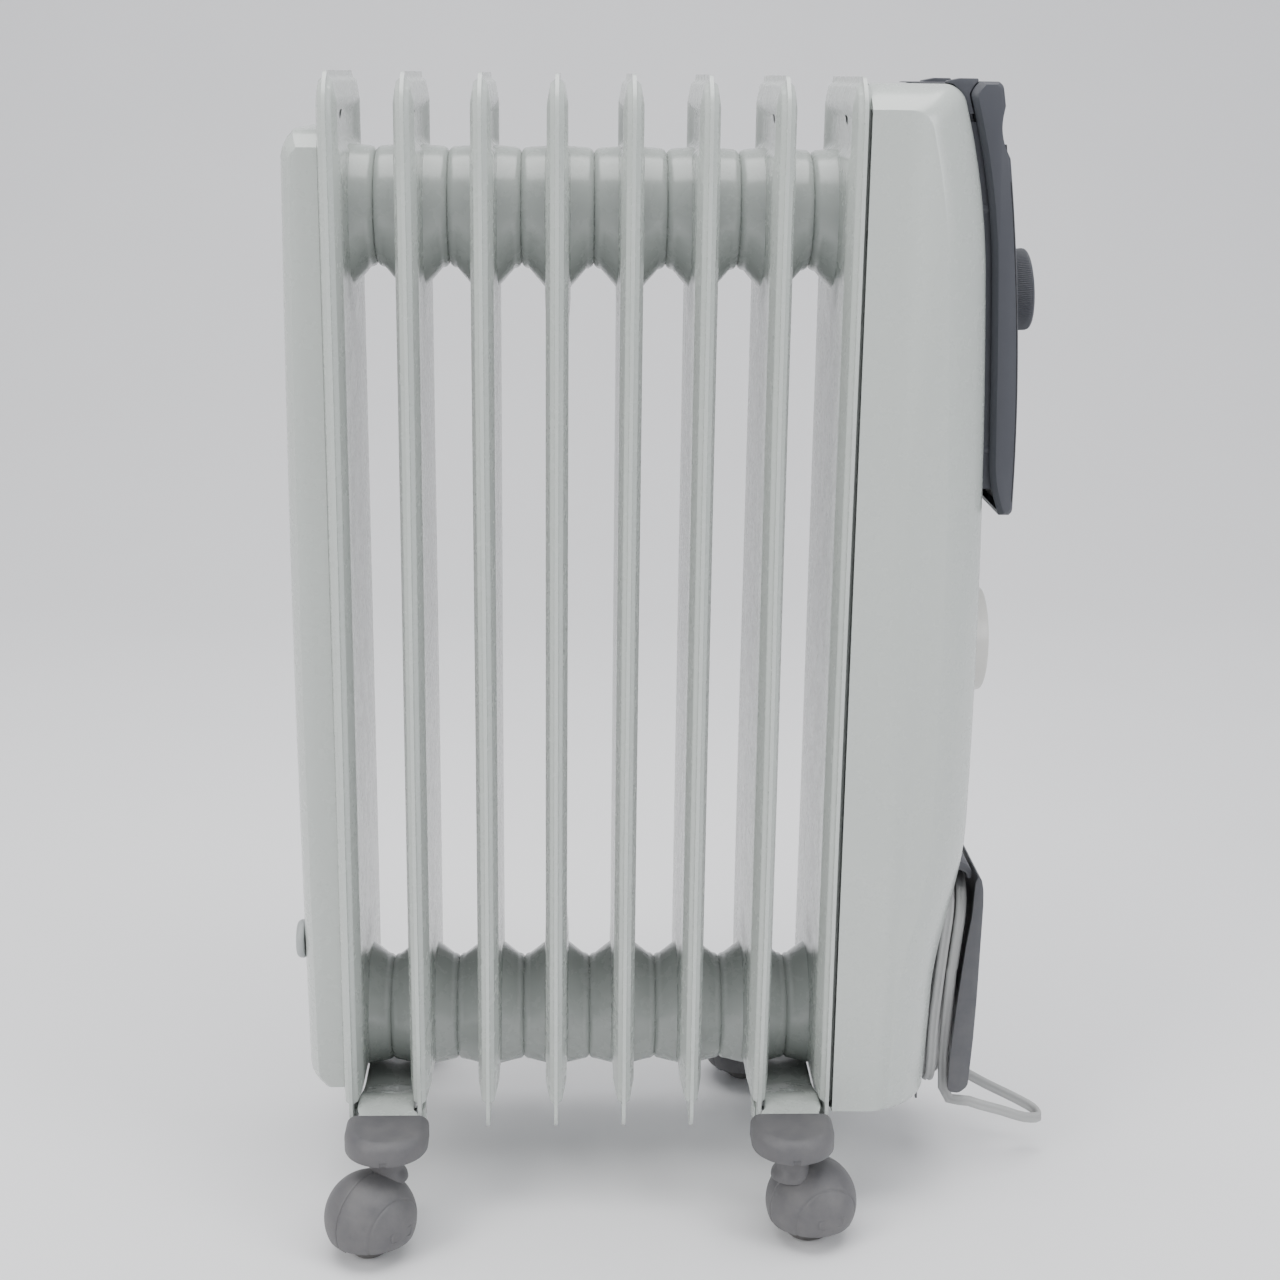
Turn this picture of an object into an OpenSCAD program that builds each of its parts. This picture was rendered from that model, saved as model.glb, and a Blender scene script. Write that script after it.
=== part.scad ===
// Oil filled radiator heater, free-standing on four swivel casters.
// Millimetres. Z is up, the fins are stacked along X, the control housing is at +X.
// The origin is on the floor, under the middle of the overall box.

/* [Fin stack] */
// Number of fins
fin_count = 8; // [8]
// Distance from one fin to the next
fin_pitch = 39; // [38.5:0.25:39.5]
// Depth of a fin, front edge to back edge
fin_depth = 150; // [149:0.5:151]
// Height of the lower edge of the fins above the floor
fin_bottom = 52; // [51:0.5:53]
// Thickness of a fin across its oil channel
fin_thick = 12; // [11:0.5:12.5]

/* [Oil hubs] */
// Height of the upper hub axis
upper_hub_z = 569.25; // [568:0.25:571]
// Height of the lower hub axis
lower_hub_z = 96.5; // [96:0.5:97]
// Radius of the upper hub at its joint
upper_hub_r = 29.5; // [29:0.25:30]
// Radius of the lower hub at its joint
lower_hub_r = 30.25; // [30:0.25:31]
// Radius of the oil gallery inside the hubs
gallery_r = 26; // [25:0.5:26.5]

/* [Control housing] */
// Overall height of the heater
total_h = 640; // [640]
// Distance from the middle of the stack to the bowed front face
house_front = 213; // [212:0.5:214]
// Wall of the housing
house_wall = 2.5; // [2:0.25:3]
// Depth of the set-back behind the cord wrap
wrap_recess = 12.5; // [12:0.25:13]

/* [Controls] */
// Height of the thermostat knob
knob_z = 527; // [525:1:529]
// Diameter of the thermostat knob
knob_d = 45; // [43:1:46]
// Height of the two power switches
switch_z = 597.5; // [597:0.25:598]
// Height of the timer axis
timer_z = 328; // [326:1:330]
// Diameter of the timer bezel
timer_d = 64; // [62:1:66]

/* [Mains cord] */
// Width of the flat two-core cord
cord_w = 6.2; // [6:0.1:6.4]
// Thickness of the flat two-core cord
cord_t = 3.6; // [3.4:0.1:3.8]

/* [Casters] */
// Distance of the swivel axes from the middle, along the stack
swivel_x = 114; // [113.5:0.25:114.5]
// Distance of the swivel axes from the middle, front to back
swivel_y = 103.5; // [103:0.25:104]
// Radius of the ball-shaped hood
hood_r = 25.9; // [25.8:0.1:26]
// Radius of the wheel
wheel_r = 22; // [22]
// Trail of the wheel behind its swivel axis
trail = 13; // [12.75:0.25:13.25]

/* [Hidden] */
$fn = 48;

paint = [0.74, 0.77, 0.75];
dark = [0.36, 0.36, 0.39];
ivory = [0.90, 0.89, 0.84];
cord_grey = [0.77, 0.78, 0.78];
steel = [0.66, 0.67, 0.69];

front_reach = 241;             // knob face, from the middle of the stack
rear_reach = 168;              // wall bumpers, from the middle of the stack
stack_x = (rear_reach - front_reach) / 2;
half_pitch = fin_pitch / 2;
half_depth = fin_depth / 2;
seam_t = 2;                    // welded seam flange
skin = 1.2;                    // sheet of a fin
groove = 1.2;                  // V groove at each hub joint
fin_end_x = half_pitch * (fin_count - 1);
clear = 0.3;                   // gap between curved faces
run_fit = 0.05;                // radial clearance of a running fit

function fin_x(i) = (i - (fin_count - 1) / 2) * fin_pitch;
function clamp(v) = min(1, max(0, v));
function smooth(v) = let (t = clamp(v)) t * t * (3 - 2 * t);

module in_stack() translate([stack_x, 0, 0]) children();
module along_x(x, y, z) translate([x, y, z]) rotate([0, 90, 0]) children();
module side_profile(width) rotate([90, 0, 0]) linear_extrude(width, center = true) children();
module face_profile(thick) rotate([90, 0, 90]) linear_extrude(thick, center = true) children();
module box_between(a, b) translate(a) cube(b - a);

// Closed solid through sections that all have the same number of points
module loft(sections) {
    n = len(sections[0]);
    m = len(sections);
    skin_faces = [for (j = [0 : m - 2], i = [0 : n - 1])
        let (a = j * n + i, b = j * n + (i + 1) % n) each [[a, b + n, b], [a, a + n, b + n]]];
    ends = [[for (i = [0 : n - 1]) i], [for (i = [n - 1 : -1 : 0]) (m - 1) * n + i]];
    polyhedron([for (s = sections) each s], concat(ends, skin_faces), convexity = 8);
}

/* ---- Fins ---- */

fin_corner = 15;               // chamfer of the upper corners
band_foot = 14.5;              // bare seam plate under the channels
pocket_low = upper_hub_z + 34;
pocket_high = 626;

// Outline of a fin in Y and Z, drawn in by a margin at the sides, the foot and the head
module fin_outline(side, foot, head) {
    y = half_depth - side;
    low = fin_bottom + foot;
    high = total_h - head;
    c = fin_corner;
    r = 12;
    polygon([[-y + r, low], [y - r, low], [y - r / 3, low + r / 3], [y, low + r], [y, high - c],
        [y - 4, high - c / 3], [y - c, high], [-y + c, high], [-y + 4, high - c / 3],
        [-y, high - c], [-y, low + r], [-y + r / 3, low + r / 3]]);
}

module fin_shell() {
    face_profile(seam_t) fin_outline(0, 0, 0);
    hull() {
        face_profile(seam_t) fin_outline(3, band_foot, 3);
        face_profile(7) fin_outline(6, band_foot + 2, 6.5);
        face_profile(fin_thick) fin_outline(18, band_foot + 8, 14);
    }
}

// Recess above the hub, where both sheets lie together inside the outer bead
module fin_pocket() {
    t = fin_thick / 2 + 1;
    hull() {
        translate([seam_t / 2 + 0.1, 0, 0]) face_profile(0.2)
            polygon([[-38, pocket_low + 2], [38, pocket_low + 2], [34, pocket_high - 5],
                [-34, pocket_high - 5]]);
        translate([t, 0, 0]) face_profile(0.2)
            polygon([[-60, pocket_low - 3], [60, pocket_low - 3], [56, pocket_high],
                [-56, pocket_high]]);
    }
}

// Half of an upper hub: it sweeps down into the oil channel
module upper_hub_half(reach) {
    flare_r = 35;
    drop = 6.5;
    hull() {
        along_x(reach - 3, 0, 0) cylinder(r = upper_hub_r + 0.6, h = 0.2);
        along_x(fin_thick / 2 - 1, 0, -drop) cylinder(r = flare_r, h = 0.2);
    }
    along_x(reach - 3.2, 0, 0) cylinder(r1 = upper_hub_r + 0.6, r2 = upper_hub_r, h = 2);
    along_x(reach - 1.2, 0, 0) cylinder(r1 = upper_hub_r, r2 = upper_hub_r - groove, h = 1.2);
}

// Half of a lower hub: a cone that opens towards the fin
module lower_hub_half(reach) {
    flare_r = reach < half_pitch ? 32.5 : 36;
    start = fin_thick / 2 - 1;
    along_x(start, 0, 0) cylinder(r1 = flare_r, r2 = lower_hub_r, h = reach - 1.2 - start);
    along_x(reach - 1.2, 0, 0) cylinder(r1 = lower_hub_r, r2 = lower_hub_r - groove, h = 1.2);
}

end_reach = 6.4;               // closed hub end
flange_seat = 12;              // lower hub end that carries the heating element

module fin(i) {
    left_end = i == 0;
    right_end = i == fin_count - 1;
    left = left_end ? end_reach : half_pitch;
    upper_right = right_end ? end_reach : half_pitch;
    lower_right = right_end ? flange_seat : half_pitch;
    color(paint) in_stack() translate([fin_x(i), 0, 0]) difference() {
        union() {
            difference() {
                fin_shell();
                for (side = [0, 1]) mirror([side, 0, 0]) fin_pocket();
            }
            translate([0, 0, upper_hub_z]) {
                upper_hub_half(upper_right);
                mirror([1, 0, 0]) upper_hub_half(left);
            }
            translate([0, 0, lower_hub_z]) {
                lower_hub_half(lower_right);
                mirror([1, 0, 0]) lower_hub_half(left);
            }
        }
        // oil gallery through the hubs, closed at the ends of the stack
        gallery_start = left_end ? -left + skin * 2 : -left - 1;
        gallery_end = right_end ? upper_right - skin * 2 : upper_right + 1;
        along_x(gallery_start, 0, upper_hub_z) cylinder(r = gallery_r, h = gallery_end - gallery_start);
        along_x(gallery_start, 0, lower_hub_z) cylinder(r = gallery_r, h = lower_right + 1 - gallery_start);
        // oil channel between the hubs
        half = fin_thick / 2 - skin;
        box_between([-half, -half_depth + 17, fin_bottom + 32], [half, half_depth - 17, pocket_low - 8]);
        // hanging hole
        along_x(-seam_t, -8, pocket_high - 8) cylinder(d = 6, h = 2 * seam_t);
    }
}

/* ---- Covers ---- */

rear_x = -143;                 // open edge of the rear cover
rear_side = 62;                // half width of the rear cover
rear_flat = 48;
rear_low = 73;
rear_high = 611;
function rear_depth(z) = 14.5 + 4.1 * smooth((z - rear_low) / 12) * smooth((rear_high - z) / 14)
    + 2.2 * sin(180 * clamp((z - rear_low) / (rear_high - rear_low)));

function rear_section(y, wall, reach) =
    let (s = clamp((abs(y) - rear_flat + wall) / (rear_side - rear_flat)),
         low = rear_low + wall + 2 * s * s, high = rear_high - wall - 9 * pow(s, 1.3), n = 18)
    concat([[rear_x + reach, y, low]],
        [for (i = [0 : n]) let (z = low + (high - low) * (0.5 - 0.5 * cos(180 * i / n)),
            edge = 2.5 - 2.5 * smooth((z - low + 0.5) / 5) * smooth((high - z + 0.5) / 5))
            [rear_x - rear_depth(z) + wall + 6 * pow(s, 1.6) + edge, y, z]],
        [[rear_x + reach, y, high]]);

module rear_cover() {
    ys = [-62, -60, -56, -52, -48, -24, 0, 24, 48, 52, 56, 60, 62];
    inner = (rear_side - 2.2) / rear_side;
    color(paint) in_stack() {
        difference() {
            loft([for (y = ys) rear_section(y, 0, 0)]);
            loft([for (y = ys) rear_section(y * inner, 2.2, 1)]);
        }
        // bosses that stand on the closed hub ends
        for (z = [upper_hub_z, lower_hub_z])
            along_x(-fin_end_x - end_reach - 9, 0, z) difference() {
                cylinder(d = 14, h = 9);
                translate([0, 0, -1]) cylinder(d = 4.2, h = 11);
            }
    }
}

bumper_z = 159;
module wall_bumpers() color(paint) in_stack()
    for (y = [-42, 42]) along_x(-rear_reach, y, bumper_z) {
        cylinder(d1 = 18, d2 = 22, h = 2);
        translate([0, 0, 2])
            cylinder(d = 22, h = rear_reach + rear_x - rear_depth(bumper_z) - clear - 2);
    }

house_back = 140.3;            // open edge of the housing
house_low = 61;
house_top = 637;
house_flat = 50;               // half width of the flat middle of the front
house_bevel = 24;              // how far the front falls back at the sides
shoulder = 13;                 // how far the top falls at the sides

function house_face(z) = house_front - 0.00011 * pow(z - 290, 2)
    - 0.0012 * pow(max(0, z - 540), 2) - wrap_recess * smooth((232 - z) / 102);

function house_section(y, wall, reach) =
    let (s = clamp((abs(y) - house_flat + wall) / (half_depth - house_flat)),
         low = house_low + wall + 4 * s * s, high = house_top - wall - shoulder * pow(s, 1.7),
         n = 30, r = 9)
    concat([[house_back - reach, y, high]],
        [for (i = [n : -1 : 0]) let (z = low + (high - low) * (0.5 - 0.5 * cos(180 * i / n)),
            up = max(0, z - high + r), down = max(0, low + r - z))
            [house_face(z) - wall - house_bevel * pow(s, 1.5)
                - (r - sqrt(max(0, r * r - up * up))) - (r - sqrt(max(0, r * r - down * down))), y, z]],
        [[house_back - reach, y, low]]);

// Grip pocket between the housing and the top of the control panel
grip_half = 34;
grip_low = 588;
grip_back = 172;

module control_housing() {
    ys = [-75, -73, -69, -64, -57, -50, -25, 0, 25, 50, 57, 64, 69, 73, 75];
    inner = (half_depth - house_wall) / half_depth;
    color(paint) in_stack() difference() {
        loft([for (y = ys) house_section(y, 0, 0)]);
        loft([for (y = ys) house_section(y * inner, house_wall, 1)]);
        box_between([grip_back, -grip_half, grip_low], [230, grip_half, 660]);
        box_between([190, -24, 490], [230, 24, 564]);
        along_x(200, 0, timer_z) cylinder(d = timer_d - 8, h = 30);
        along_x(180, relief_y, relief_z) cylinder(d = relief_d, h = 40);
        for (y = [-post_y, post_y], z = post_zs)
            along_x(190, y, z) cylinder(d = post_d + 2 * clear, h = 40);
    }
}

shield_x = 150;
module heat_shield() color(steel) in_stack() difference() {
    along_x(shield_x, 0, 0) translate([0, 0, 0]) linear_extrude(1.2)
        polygon([[-69, -71], [-69, 71], [-600, 71], [-622, 60], [-622, -60], [-600, -71]]);
    along_x(shield_x - 1, 0, lower_hub_z) cylinder(d = 66, h = 4);
    for (y = [-40, -20, 0, 20, 40], z = [200 : 60 : 500])
        box_between([shield_x - 1, y - 3, z], [shield_x + 3, y + 3, z + 36]);
}

/* ---- Control panel ---- */

panel_low = 410;
panel_half = 48;
panel_gap = 4.2;               // shadow gap between housing and panel
function panel_face(z) = 228.8 - 0.00041 * pow(max(0, z - 427), 2);
function panel_back(z) = house_face(min(z, 632)) + panel_gap
    + 6 * pow(max(0, 440 - z) / 30, 2);

function panel_section(y, wall, reach) =
    let (s = clamp((abs(y) - 45 + wall) / 3), low = panel_low + wall + 2 * s,
         high = total_h - (wall > 0 ? 56 : 1.6) - 1.5 * s, n = 24,
         crown = 1.2 * (1 - pow(y / panel_half, 2)),
         zs = [for (i = [0 : n]) low + (high - low) * (0.5 - 0.5 * cos(180 * i / n))])
    concat([for (i = [n : -1 : 0])
            let (z = zs[i], up = max(0, z - high + 3), down = max(0, low + 3 - z))
            [panel_face(z) + crown - wall - 1.2 * s - 0.25 * up * up - 0.2 * down * down, y, z]],
        [for (z = zs) let (up = max(0, z - high + 8))
            [panel_back(z) + 3 * s + 0.07 * up * up - reach, y, z]]);

knob_tilt = 4.7;               // lean of the knob axis above level
rocker_w = 19;
rocker_h = 13;
rocker_swing = 12;
switch_y = 16;
post_y = 40;                   // mounting posts of the panel
post_d = 7;
post_zs = [446, 574];
pocket_reach = 200;            // how far the finger pocket runs into the panel

// Knob axis, starting on the panel face
module on_knob_axis() translate([panel_face(knob_z) + 1.2, 0, knob_z])
    rotate([0, 90 - knob_tilt, 0]) children();

// Rocker axis, starting in the middle of a rocker at the panel face
switch_lean = 7.5;
switch_x = panel_face(switch_z) + 0.6;
module on_switch(y) translate([switch_x, y, switch_z]) rotate([0, -switch_lean, 0]) children();

module control_panel() {
    ys = [-48, -47, -45, -30, -15, 0, 15, 30, 45, 47, 48];
    inner = 45 / panel_half;
    color(dark) in_stack() {
        difference() {
            loft([for (y = ys) panel_section(y, 0, 0)]);
            loft([for (y = ys) panel_section(y * inner, 3, 8)]);
            // finger scoop across the top of the face
            translate([241, 0, 617]) rotate([90, 0, 0])
                cylinder(r = 30, h = 120, center = true, $fn = 96);
            // finger pocket behind the top
            box_between([180, -grip_half - 1.5, grip_low - 3], [pocket_reach, grip_half + 1.5, 660]);
            // openings for the controls
            on_knob_axis() translate([0, 0, -12]) cylinder(d = 10, h = 20);
            for (y = [-switch_y, switch_y]) on_switch(y)
                box_between([-12, -rocker_w / 2 - 1.5, -rocker_h / 2 - 1.5],
                    [12, rocker_w / 2 + 1.5, rocker_h / 2 + 1.5]);
            along_x(200, 0, lamp_z) cylinder(d = lamp_d, h = 50);
        }
        for (y = [-post_y, post_y], z = post_zs)
            along_x(201, y, z) cylinder(d = post_d, h = panel_face(z) - 202);
    }
}

// Cup and rim that make the grip pocket
module carry_handle() {
    wall = 2.5;
    o = grip_half - clear;
    front = 195.8;
    rim = o + 4;
    color(dark) in_stack() difference() {
        union() {
            box_between([grip_back + clear, -o, grip_low + clear], [front, o, total_h - 2.7]);
            box_between([grip_back - 3, -rim, house_top + clear], [front, rim, house_top + 0.9]);
            // cheeks that close the gap between the housing and the top of the panel
            for (side = [-1, 1]) translate([0, side * (o + 6), 0]) side_profile(9)
                polygon([[193.7, 622], [192.2, 628], [189, 633.4], [184.9, 636.8], [182, 637.4],
                    [182, 638.6], [189, total_h], [197.5, total_h], [198.2, 638.9], [195.8, 636],
                    [193.8, 632], [194.8, 628], [196.6, 622]]);
        }
        box_between([grip_back + clear + wall, -o + wall, grip_low + clear + wall],
            [front + 10, o - wall, total_h + 1]);
    }
}

thermo_w = 30;
module thermostat_body() color([0.85, 0.84, 0.80]) in_stack() on_knob_axis() difference() {
    union() {
        translate([-thermo_w / 2, -thermo_w / 2 + 4, -30]) cube([thermo_w, thermo_w - 8, 18]);
        translate([0, 0, -12]) cylinder(d = 9.4, h = 11.5);
    }
    translate([0, 0, -22]) cylinder(d = 6 + 2 * run_fit, h = 30);
}

module thermostat_shaft() color(steel) in_stack() on_knob_axis()
    translate([0, 0, -20]) cylinder(d = 6, h = 27);

knob_h = 12.35;
module thermostat_knob() {
    ribs = 48;
    r = knob_d / 2;
    color(dark) in_stack() on_knob_axis() difference() {
        translate([0, 0, 1.6]) rotate_extrude() polygon([[0, 0], [r - 1.5, 0], [r - 0.5, 1],
            [r, knob_h - 3], [r - 0.6, knob_h - 1.2], [r - 2, knob_h - 0.2], [r - 5, knob_h],
            [0, knob_h - 0.6]]);
        translate([0, 0, -1]) cylinder(d = 6, h = 8);
        // fine grip ribs
        for (i = [0 : ribs - 1]) rotate([0, 0, i * 360 / ribs])
            translate([r + 0.1, 0, 4]) cylinder(r = 0.55, h = 7.4, $fn = 16);
        // pointer mark
        translate([r - 9, -0.8, knob_h + 1]) cube([6, 1.6, 2]);
    }
}

module switch_bodies() color([0.12, 0.12, 0.13]) in_stack()
    for (y = [-switch_y, switch_y]) on_switch(y) difference() {
        union() {
            box_between([-11, -rocker_w / 2 - 1.3, -rocker_h / 2 - 1.3],
                [-0.4, rocker_w / 2 + 1.3, rocker_h / 2 + 1.3]);
            box_between([0.7, -rocker_w / 2 - 2.2, -rocker_h / 2 - 2.2],
                [1.7, rocker_w / 2 + 2.2, rocker_h / 2 + 2.2]);
            box_between([-1, -rocker_w / 2 - 1.3, -rocker_h / 2 - 1.3],
                [1, rocker_w / 2 + 1.3, rocker_h / 2 + 1.3]);
        }
        box_between([-8.5, -rocker_w / 2 - 0.4, -rocker_h / 2 - 0.3],
            [4, rocker_w / 2 + 0.4, rocker_h / 2 + 0.3]);
    }

rocker_axis = -2;
module power_switch(y) color([0.70, 0.16, 0.12]) in_stack() on_switch(y)
    translate([rocker_axis, 0, 0]) {
        linear_extrude(rocker_h, center = true)
            polygon([[-2.6, -3], [0.6, -rocker_w / 2 + 1.1], [3, -rocker_w / 2 + 0.7],
                [2.9, 0], [5.2, rocker_w / 2 - 1.3], [2.8, rocker_w / 2 - 0.9], [-2.6, 3]]);
        cylinder(d = 3, h = rocker_h + 0.3, center = true);
    }
module power_switch_1() power_switch(-switch_y);
module power_switch_2() power_switch(switch_y);

lamp_z = 478;
lamp_d = 7;
module pilot_lamp() color([0.86, 0.42, 0.12]) in_stack() along_x(panel_face(lamp_z) - 12, 0, lamp_z) {
    cylinder(d = lamp_d - 0.6, h = 13.5);
    translate([0, 0, 13.5]) cylinder(d = lamp_d + 2, h = 1.4);
}

/* ---- Timer ---- */

timer_front = 225.5;
dial_d = 44;
tappet_r = 26.2;               // radius of the ring of tappets
tappets = 48;

module timer_bezel() {
    r = timer_d / 2;
    seat = house_face(timer_z) + 0.5;
    color(ivory) in_stack() along_x(0, 0, timer_z) rotate_extrude() polygon([[29, seat],
        [r, seat], [r, seat + 1.5], [29.6, timer_front - 2], [28.8, timer_front - 1.2],
        [28, timer_front - 2], [27.4, seat + 4], [29, seat + 1.5]]);
}

module timer_module() color([0.85, 0.84, 0.80]) in_stack() along_x(0, 0, timer_z) difference() {
    union() {
        translate([0, 0, 190]) cylinder(r = 26, h = 23);
        translate([0, 0, 213]) cylinder(r = 27, h = 2.3);
    }
    translate([0, 0, 200]) cylinder(d = 6 + 2 * run_fit, h = 30);
}

module timer_dial() color(ivory) in_stack() along_x(0, 0, timer_z) {
    translate([0, 0, 202]) cylinder(d = 6, h = 16);
    translate([0, 0, 215.8]) cylinder(r = tappet_r + 0.8, h = 2.2);
    rotate_extrude() polygon([[0, 216], [dial_d / 2 + 1.2, 216], [dial_d / 2, timer_front - 1.5],
        [dial_d / 2 - 1.5, timer_front - 0.5], [9, timer_front - 1.5], [8, timer_front],
        [0, timer_front]]);
}

module timer_tappets() color([0.20, 0.20, 0.22]) in_stack() along_x(218, 0, timer_z)
    for (i = [0 : tappets - 1]) rotate([0, 0, (i + 0.5) * 360 / tappets])
        translate([dial_d / 2 + 1.6, -1.05, 0]) cube([tappet_r - dial_d / 2 - 1.2, 2.1, 5.2]);

/* ---- Cord storage ---- */

wrap_half = 35;
wrap_low = 50;
wrap_top = 198;
plate_t = 1;
function plate_x(z) = house_face(max(z, 70)) + clear;
relief_y = 20;
relief_z = 74;
relief_d = 12;
core_half = 14;
core_low = 72;
core_high = 172;

module wrap_base() {
    zs = [for (i = [0 : 20]) wrap_low + (wrap_top - 10 - wrap_low) * i / 20];
    color(dark) in_stack() difference() {
        union() {
            side_profile(2 * wrap_half - 2) polygon(concat(
                [for (z = zs) [plate_x(z), z]],
                [for (i = [20 : -1 : 0]) [plate_x(zs[i]) + plate_t, zs[i]]]));
            // hook over the top of the winding
            side_profile(52) polygon([[plate_x(wrap_top - 11) + 0.1, wrap_top - 11],
                [plate_x(wrap_top - 11) + 0.95, wrap_top - 11],
                [plate_x(wrap_top - 4) + 1.1, wrap_top - 4], [214, wrap_top - 3.5],
                [220, wrap_top - 5.5], [221, wrap_top - 9], [222.6, wrap_top - 9],
                [222.4, wrap_top - 3], [220.5, wrap_top - 0.8], [214, wrap_top + 2.5],
                [plate_x(wrap_top) + 0.2, wrap_top + 1.6]]);
            // core that the cord is wound on
            side_profile(2 * core_half) polygon([[plate_x(core_low) + 0.5, core_low],
                [214, core_low], [221.5, core_high - 4], [219, core_high],
                [plate_x(core_high) + 0.5, core_high]]);
        }
        along_x(190, relief_y, relief_z) cylinder(d = relief_d, h = 20);
        side_profile(2 * core_half - 5) polygon([[plate_x(core_low) + 3, core_low + 3],
            [218, core_low + 3], [226, core_high - 8], [plate_x(core_high) + 3, core_high - 4]]);
    }
}

module wrap_outer_plate() {
    outline = [[214, 57.5], [216, 55.6], [221, 55], [226, 59.5], [227.6, 90], [228.3, 116], [228.9, 176],
        [228.4, 186], [227, wrap_top - 6], [225.2, wrap_top - 4], [223.6, wrap_top - 8], [223.2, 180],
        [222.8, 170], [220, 148], [216.5, 109], [214.2, 75]];
    inner = [[212, 50], [218.5, 50], [222.8, 62], [224.6, 90], [225.3, 116], [225.9, 176],
        [225.4, 186], [224.4, wrap_top], [218, wrap_top], [214, 100]];
    color(dark) in_stack() difference() {
        side_profile(2 * wrap_half) polygon(outline);
        side_profile(2 * wrap_half - 5) polygon(inner);
    }
}

/* ---- Mains cord ---- */

hank_t = 12.6;                 // two cords side by side
hank_half = 32;
hank_low = 52;
hank_high = 188;
hank_lean = 4.9;
hank_mid = 209.1;
module cord_hank() {
    mid = (hank_low + hank_high) / 2;
    half = (hank_high - hank_low) / 2;
    r = 24;
    color(cord_grey) in_stack() translate([hank_mid, 0, mid]) rotate([90, 0, 90])
        rotate([hank_lean, 0, 0]) linear_extrude(hank_t, center = true) difference() {
            union() {
                square([2 * hank_half, 2 * half - 2 * r], center = true);
                square([2 * hank_half - 2 * r, 2 * half], center = true);
                for (y = [-1, 1], z = [-1, 1])
                    translate([y * (hank_half - r), z * (half - r)]) circle(r);
            }
            square([2 * core_half + 2, core_high - core_low + 6], center = true);
        }
}

module cord_strain_relief() color(dark) in_stack() {
    along_x(plate_x(relief_z) - 11.5, relief_y, relief_z) cylinder(d = relief_d + 4, h = 4);
    along_x(plate_x(relief_z) - 8, relief_y, relief_z) cylinder(d = relief_d - 0.6, h = 10);
}

// Smooth curve through hand-set points
function spline(p, i, t) =
    let (a = p[max(0, i - 1)], b = p[i], c = p[i + 1], d = p[min(len(p) - 1, i + 2)])
    0.5 * (2 * b + (c - a) * t + (2 * a - 5 * b + 4 * c - d) * t * t
        + (3 * b - a - 3 * c + d) * t * t * t);
function route(p, steps) = concat([for (i = [0 : len(p) - 2], k = [0 : steps - 1])
    spline(p, i, k / steps)], [p[len(p) - 1]]);
function unit(v) = v / norm(v);

// Flat cord swept along a route, broad side across the given direction
module flat_cord(line, across) {
    n = len(line);
    corners = 10;
    loft([for (i = [0 : n - 1])
        let (along = unit(line[min(n - 1, i + 1)] - line[max(0, i - 1)]),
             side = unit(across - (across * along) * along),
             up = cross(along, side))
        [for (k = [0 : corners - 1]) let (a = 360 * k / corners)
            line[i] + side * cord_w / 2 * cos(a) + up * cord_t / 2 * sin(a)]]);
}

loop_points = [[205, -17, 61], [213, -26, 54.5], [229, -27, 45.5], [250, -22, 36.5], [266, -17, 29],
    [277, -8, 24.5], [275, 1, 25.5], [263, 4, 31.5], [247, 6, 39], [232, 9, 46.5], [218, 12, 53.5],
    [207, 14, 60]];
module cord_loop() color(cord_grey) in_stack()
    flat_cord(route(loop_points, 5), [0, 0.25, 1]);

plug_at = [217, 54, 84];       // middle of the plug face
plug_h = 46;
tail_points = [[209, 28, 148], [211, 38, 157], [215, 48, 159], [217, 53.5, 151], [217, 54, 142],
    [217, 54, plug_at[2] + plug_h - 2]];
module cord_tail() color(cord_grey) in_stack()
    flat_cord(route(tail_points, 4), [1, 0, 0]);

module mains_plug() color(cord_grey) in_stack() translate(plug_at) {
    rotate_extrude() polygon([[0, 0], [17.4, 0], [17.4, 4], [16.6, 8], [13, 15], [11, 24],
        [8, 34], [5.4, plug_h - 1], [0, plug_h - 1]]);
    for (y = [-9.5, 9.5]) translate([0, y, -18.5]) {
        cylinder(d = 4.6, h = 19);
        translate([0, 0, -0.6]) cylinder(d1 = 3.4, d2 = 4.6, h = 0.6);
    }
}

/* ---- Oil heating and safety parts ---- */

flange_x = fin_end_x + flange_seat;
element_reach = 236;

module heating_element() color(steel) in_stack() translate([flange_x, 0, lower_hub_z]) {
    for (y = [-12, 12]) translate([-element_reach, y, 0]) rotate([0, 90, 0])
        cylinder(d = 8.5, h = element_reach);
    translate([-element_reach, 0, 0]) rotate([0, 0, 90]) rotate_extrude(angle = 180)
        translate([12, 0]) circle(d = 8.5);
    translate([-90, 0, 13]) rotate([0, 90, 0]) cylinder(d = 7, h = 90);
}

module element_flange() color(steel) in_stack() along_x(flange_x, 0, lower_hub_z) difference() {
    union() {
        cylinder(d = 60, h = 4);
        cylinder(d = 44, h = 7.5, $fn = 24);
        for (y = [-12, 12]) translate([0, y, 0]) {
            cylinder(d = 8, h = 11);
            cylinder(d = 4, h = 19);
        }
    }
    translate([-13, 0, -1]) cylinder(d = 7, h = 9);
}

module thermal_cutout() color([0.25, 0.20, 0.16]) in_stack() along_x(shield_x + 1.2, 22, 148) {
    cylinder(d = 24, h = 1);
    cylinder(d = 16, h = 9);
    for (y = [-4, 4]) translate([-1, y - 2.4, 9]) cube([0.8, 4.8, 6]);
}

module tip_over_switch() color([0.14, 0.14, 0.15]) in_stack() {
    box_between([shield_x + 1.2, -32, 232], [shield_x + 19, -6, 264]);
    box_between([shield_x + 1.2, -36, 226], [shield_x + 3, -2, 270]);
    along_x(shield_x + 19, -19, 248) cylinder(d = 14, h = 3);
}

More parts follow.
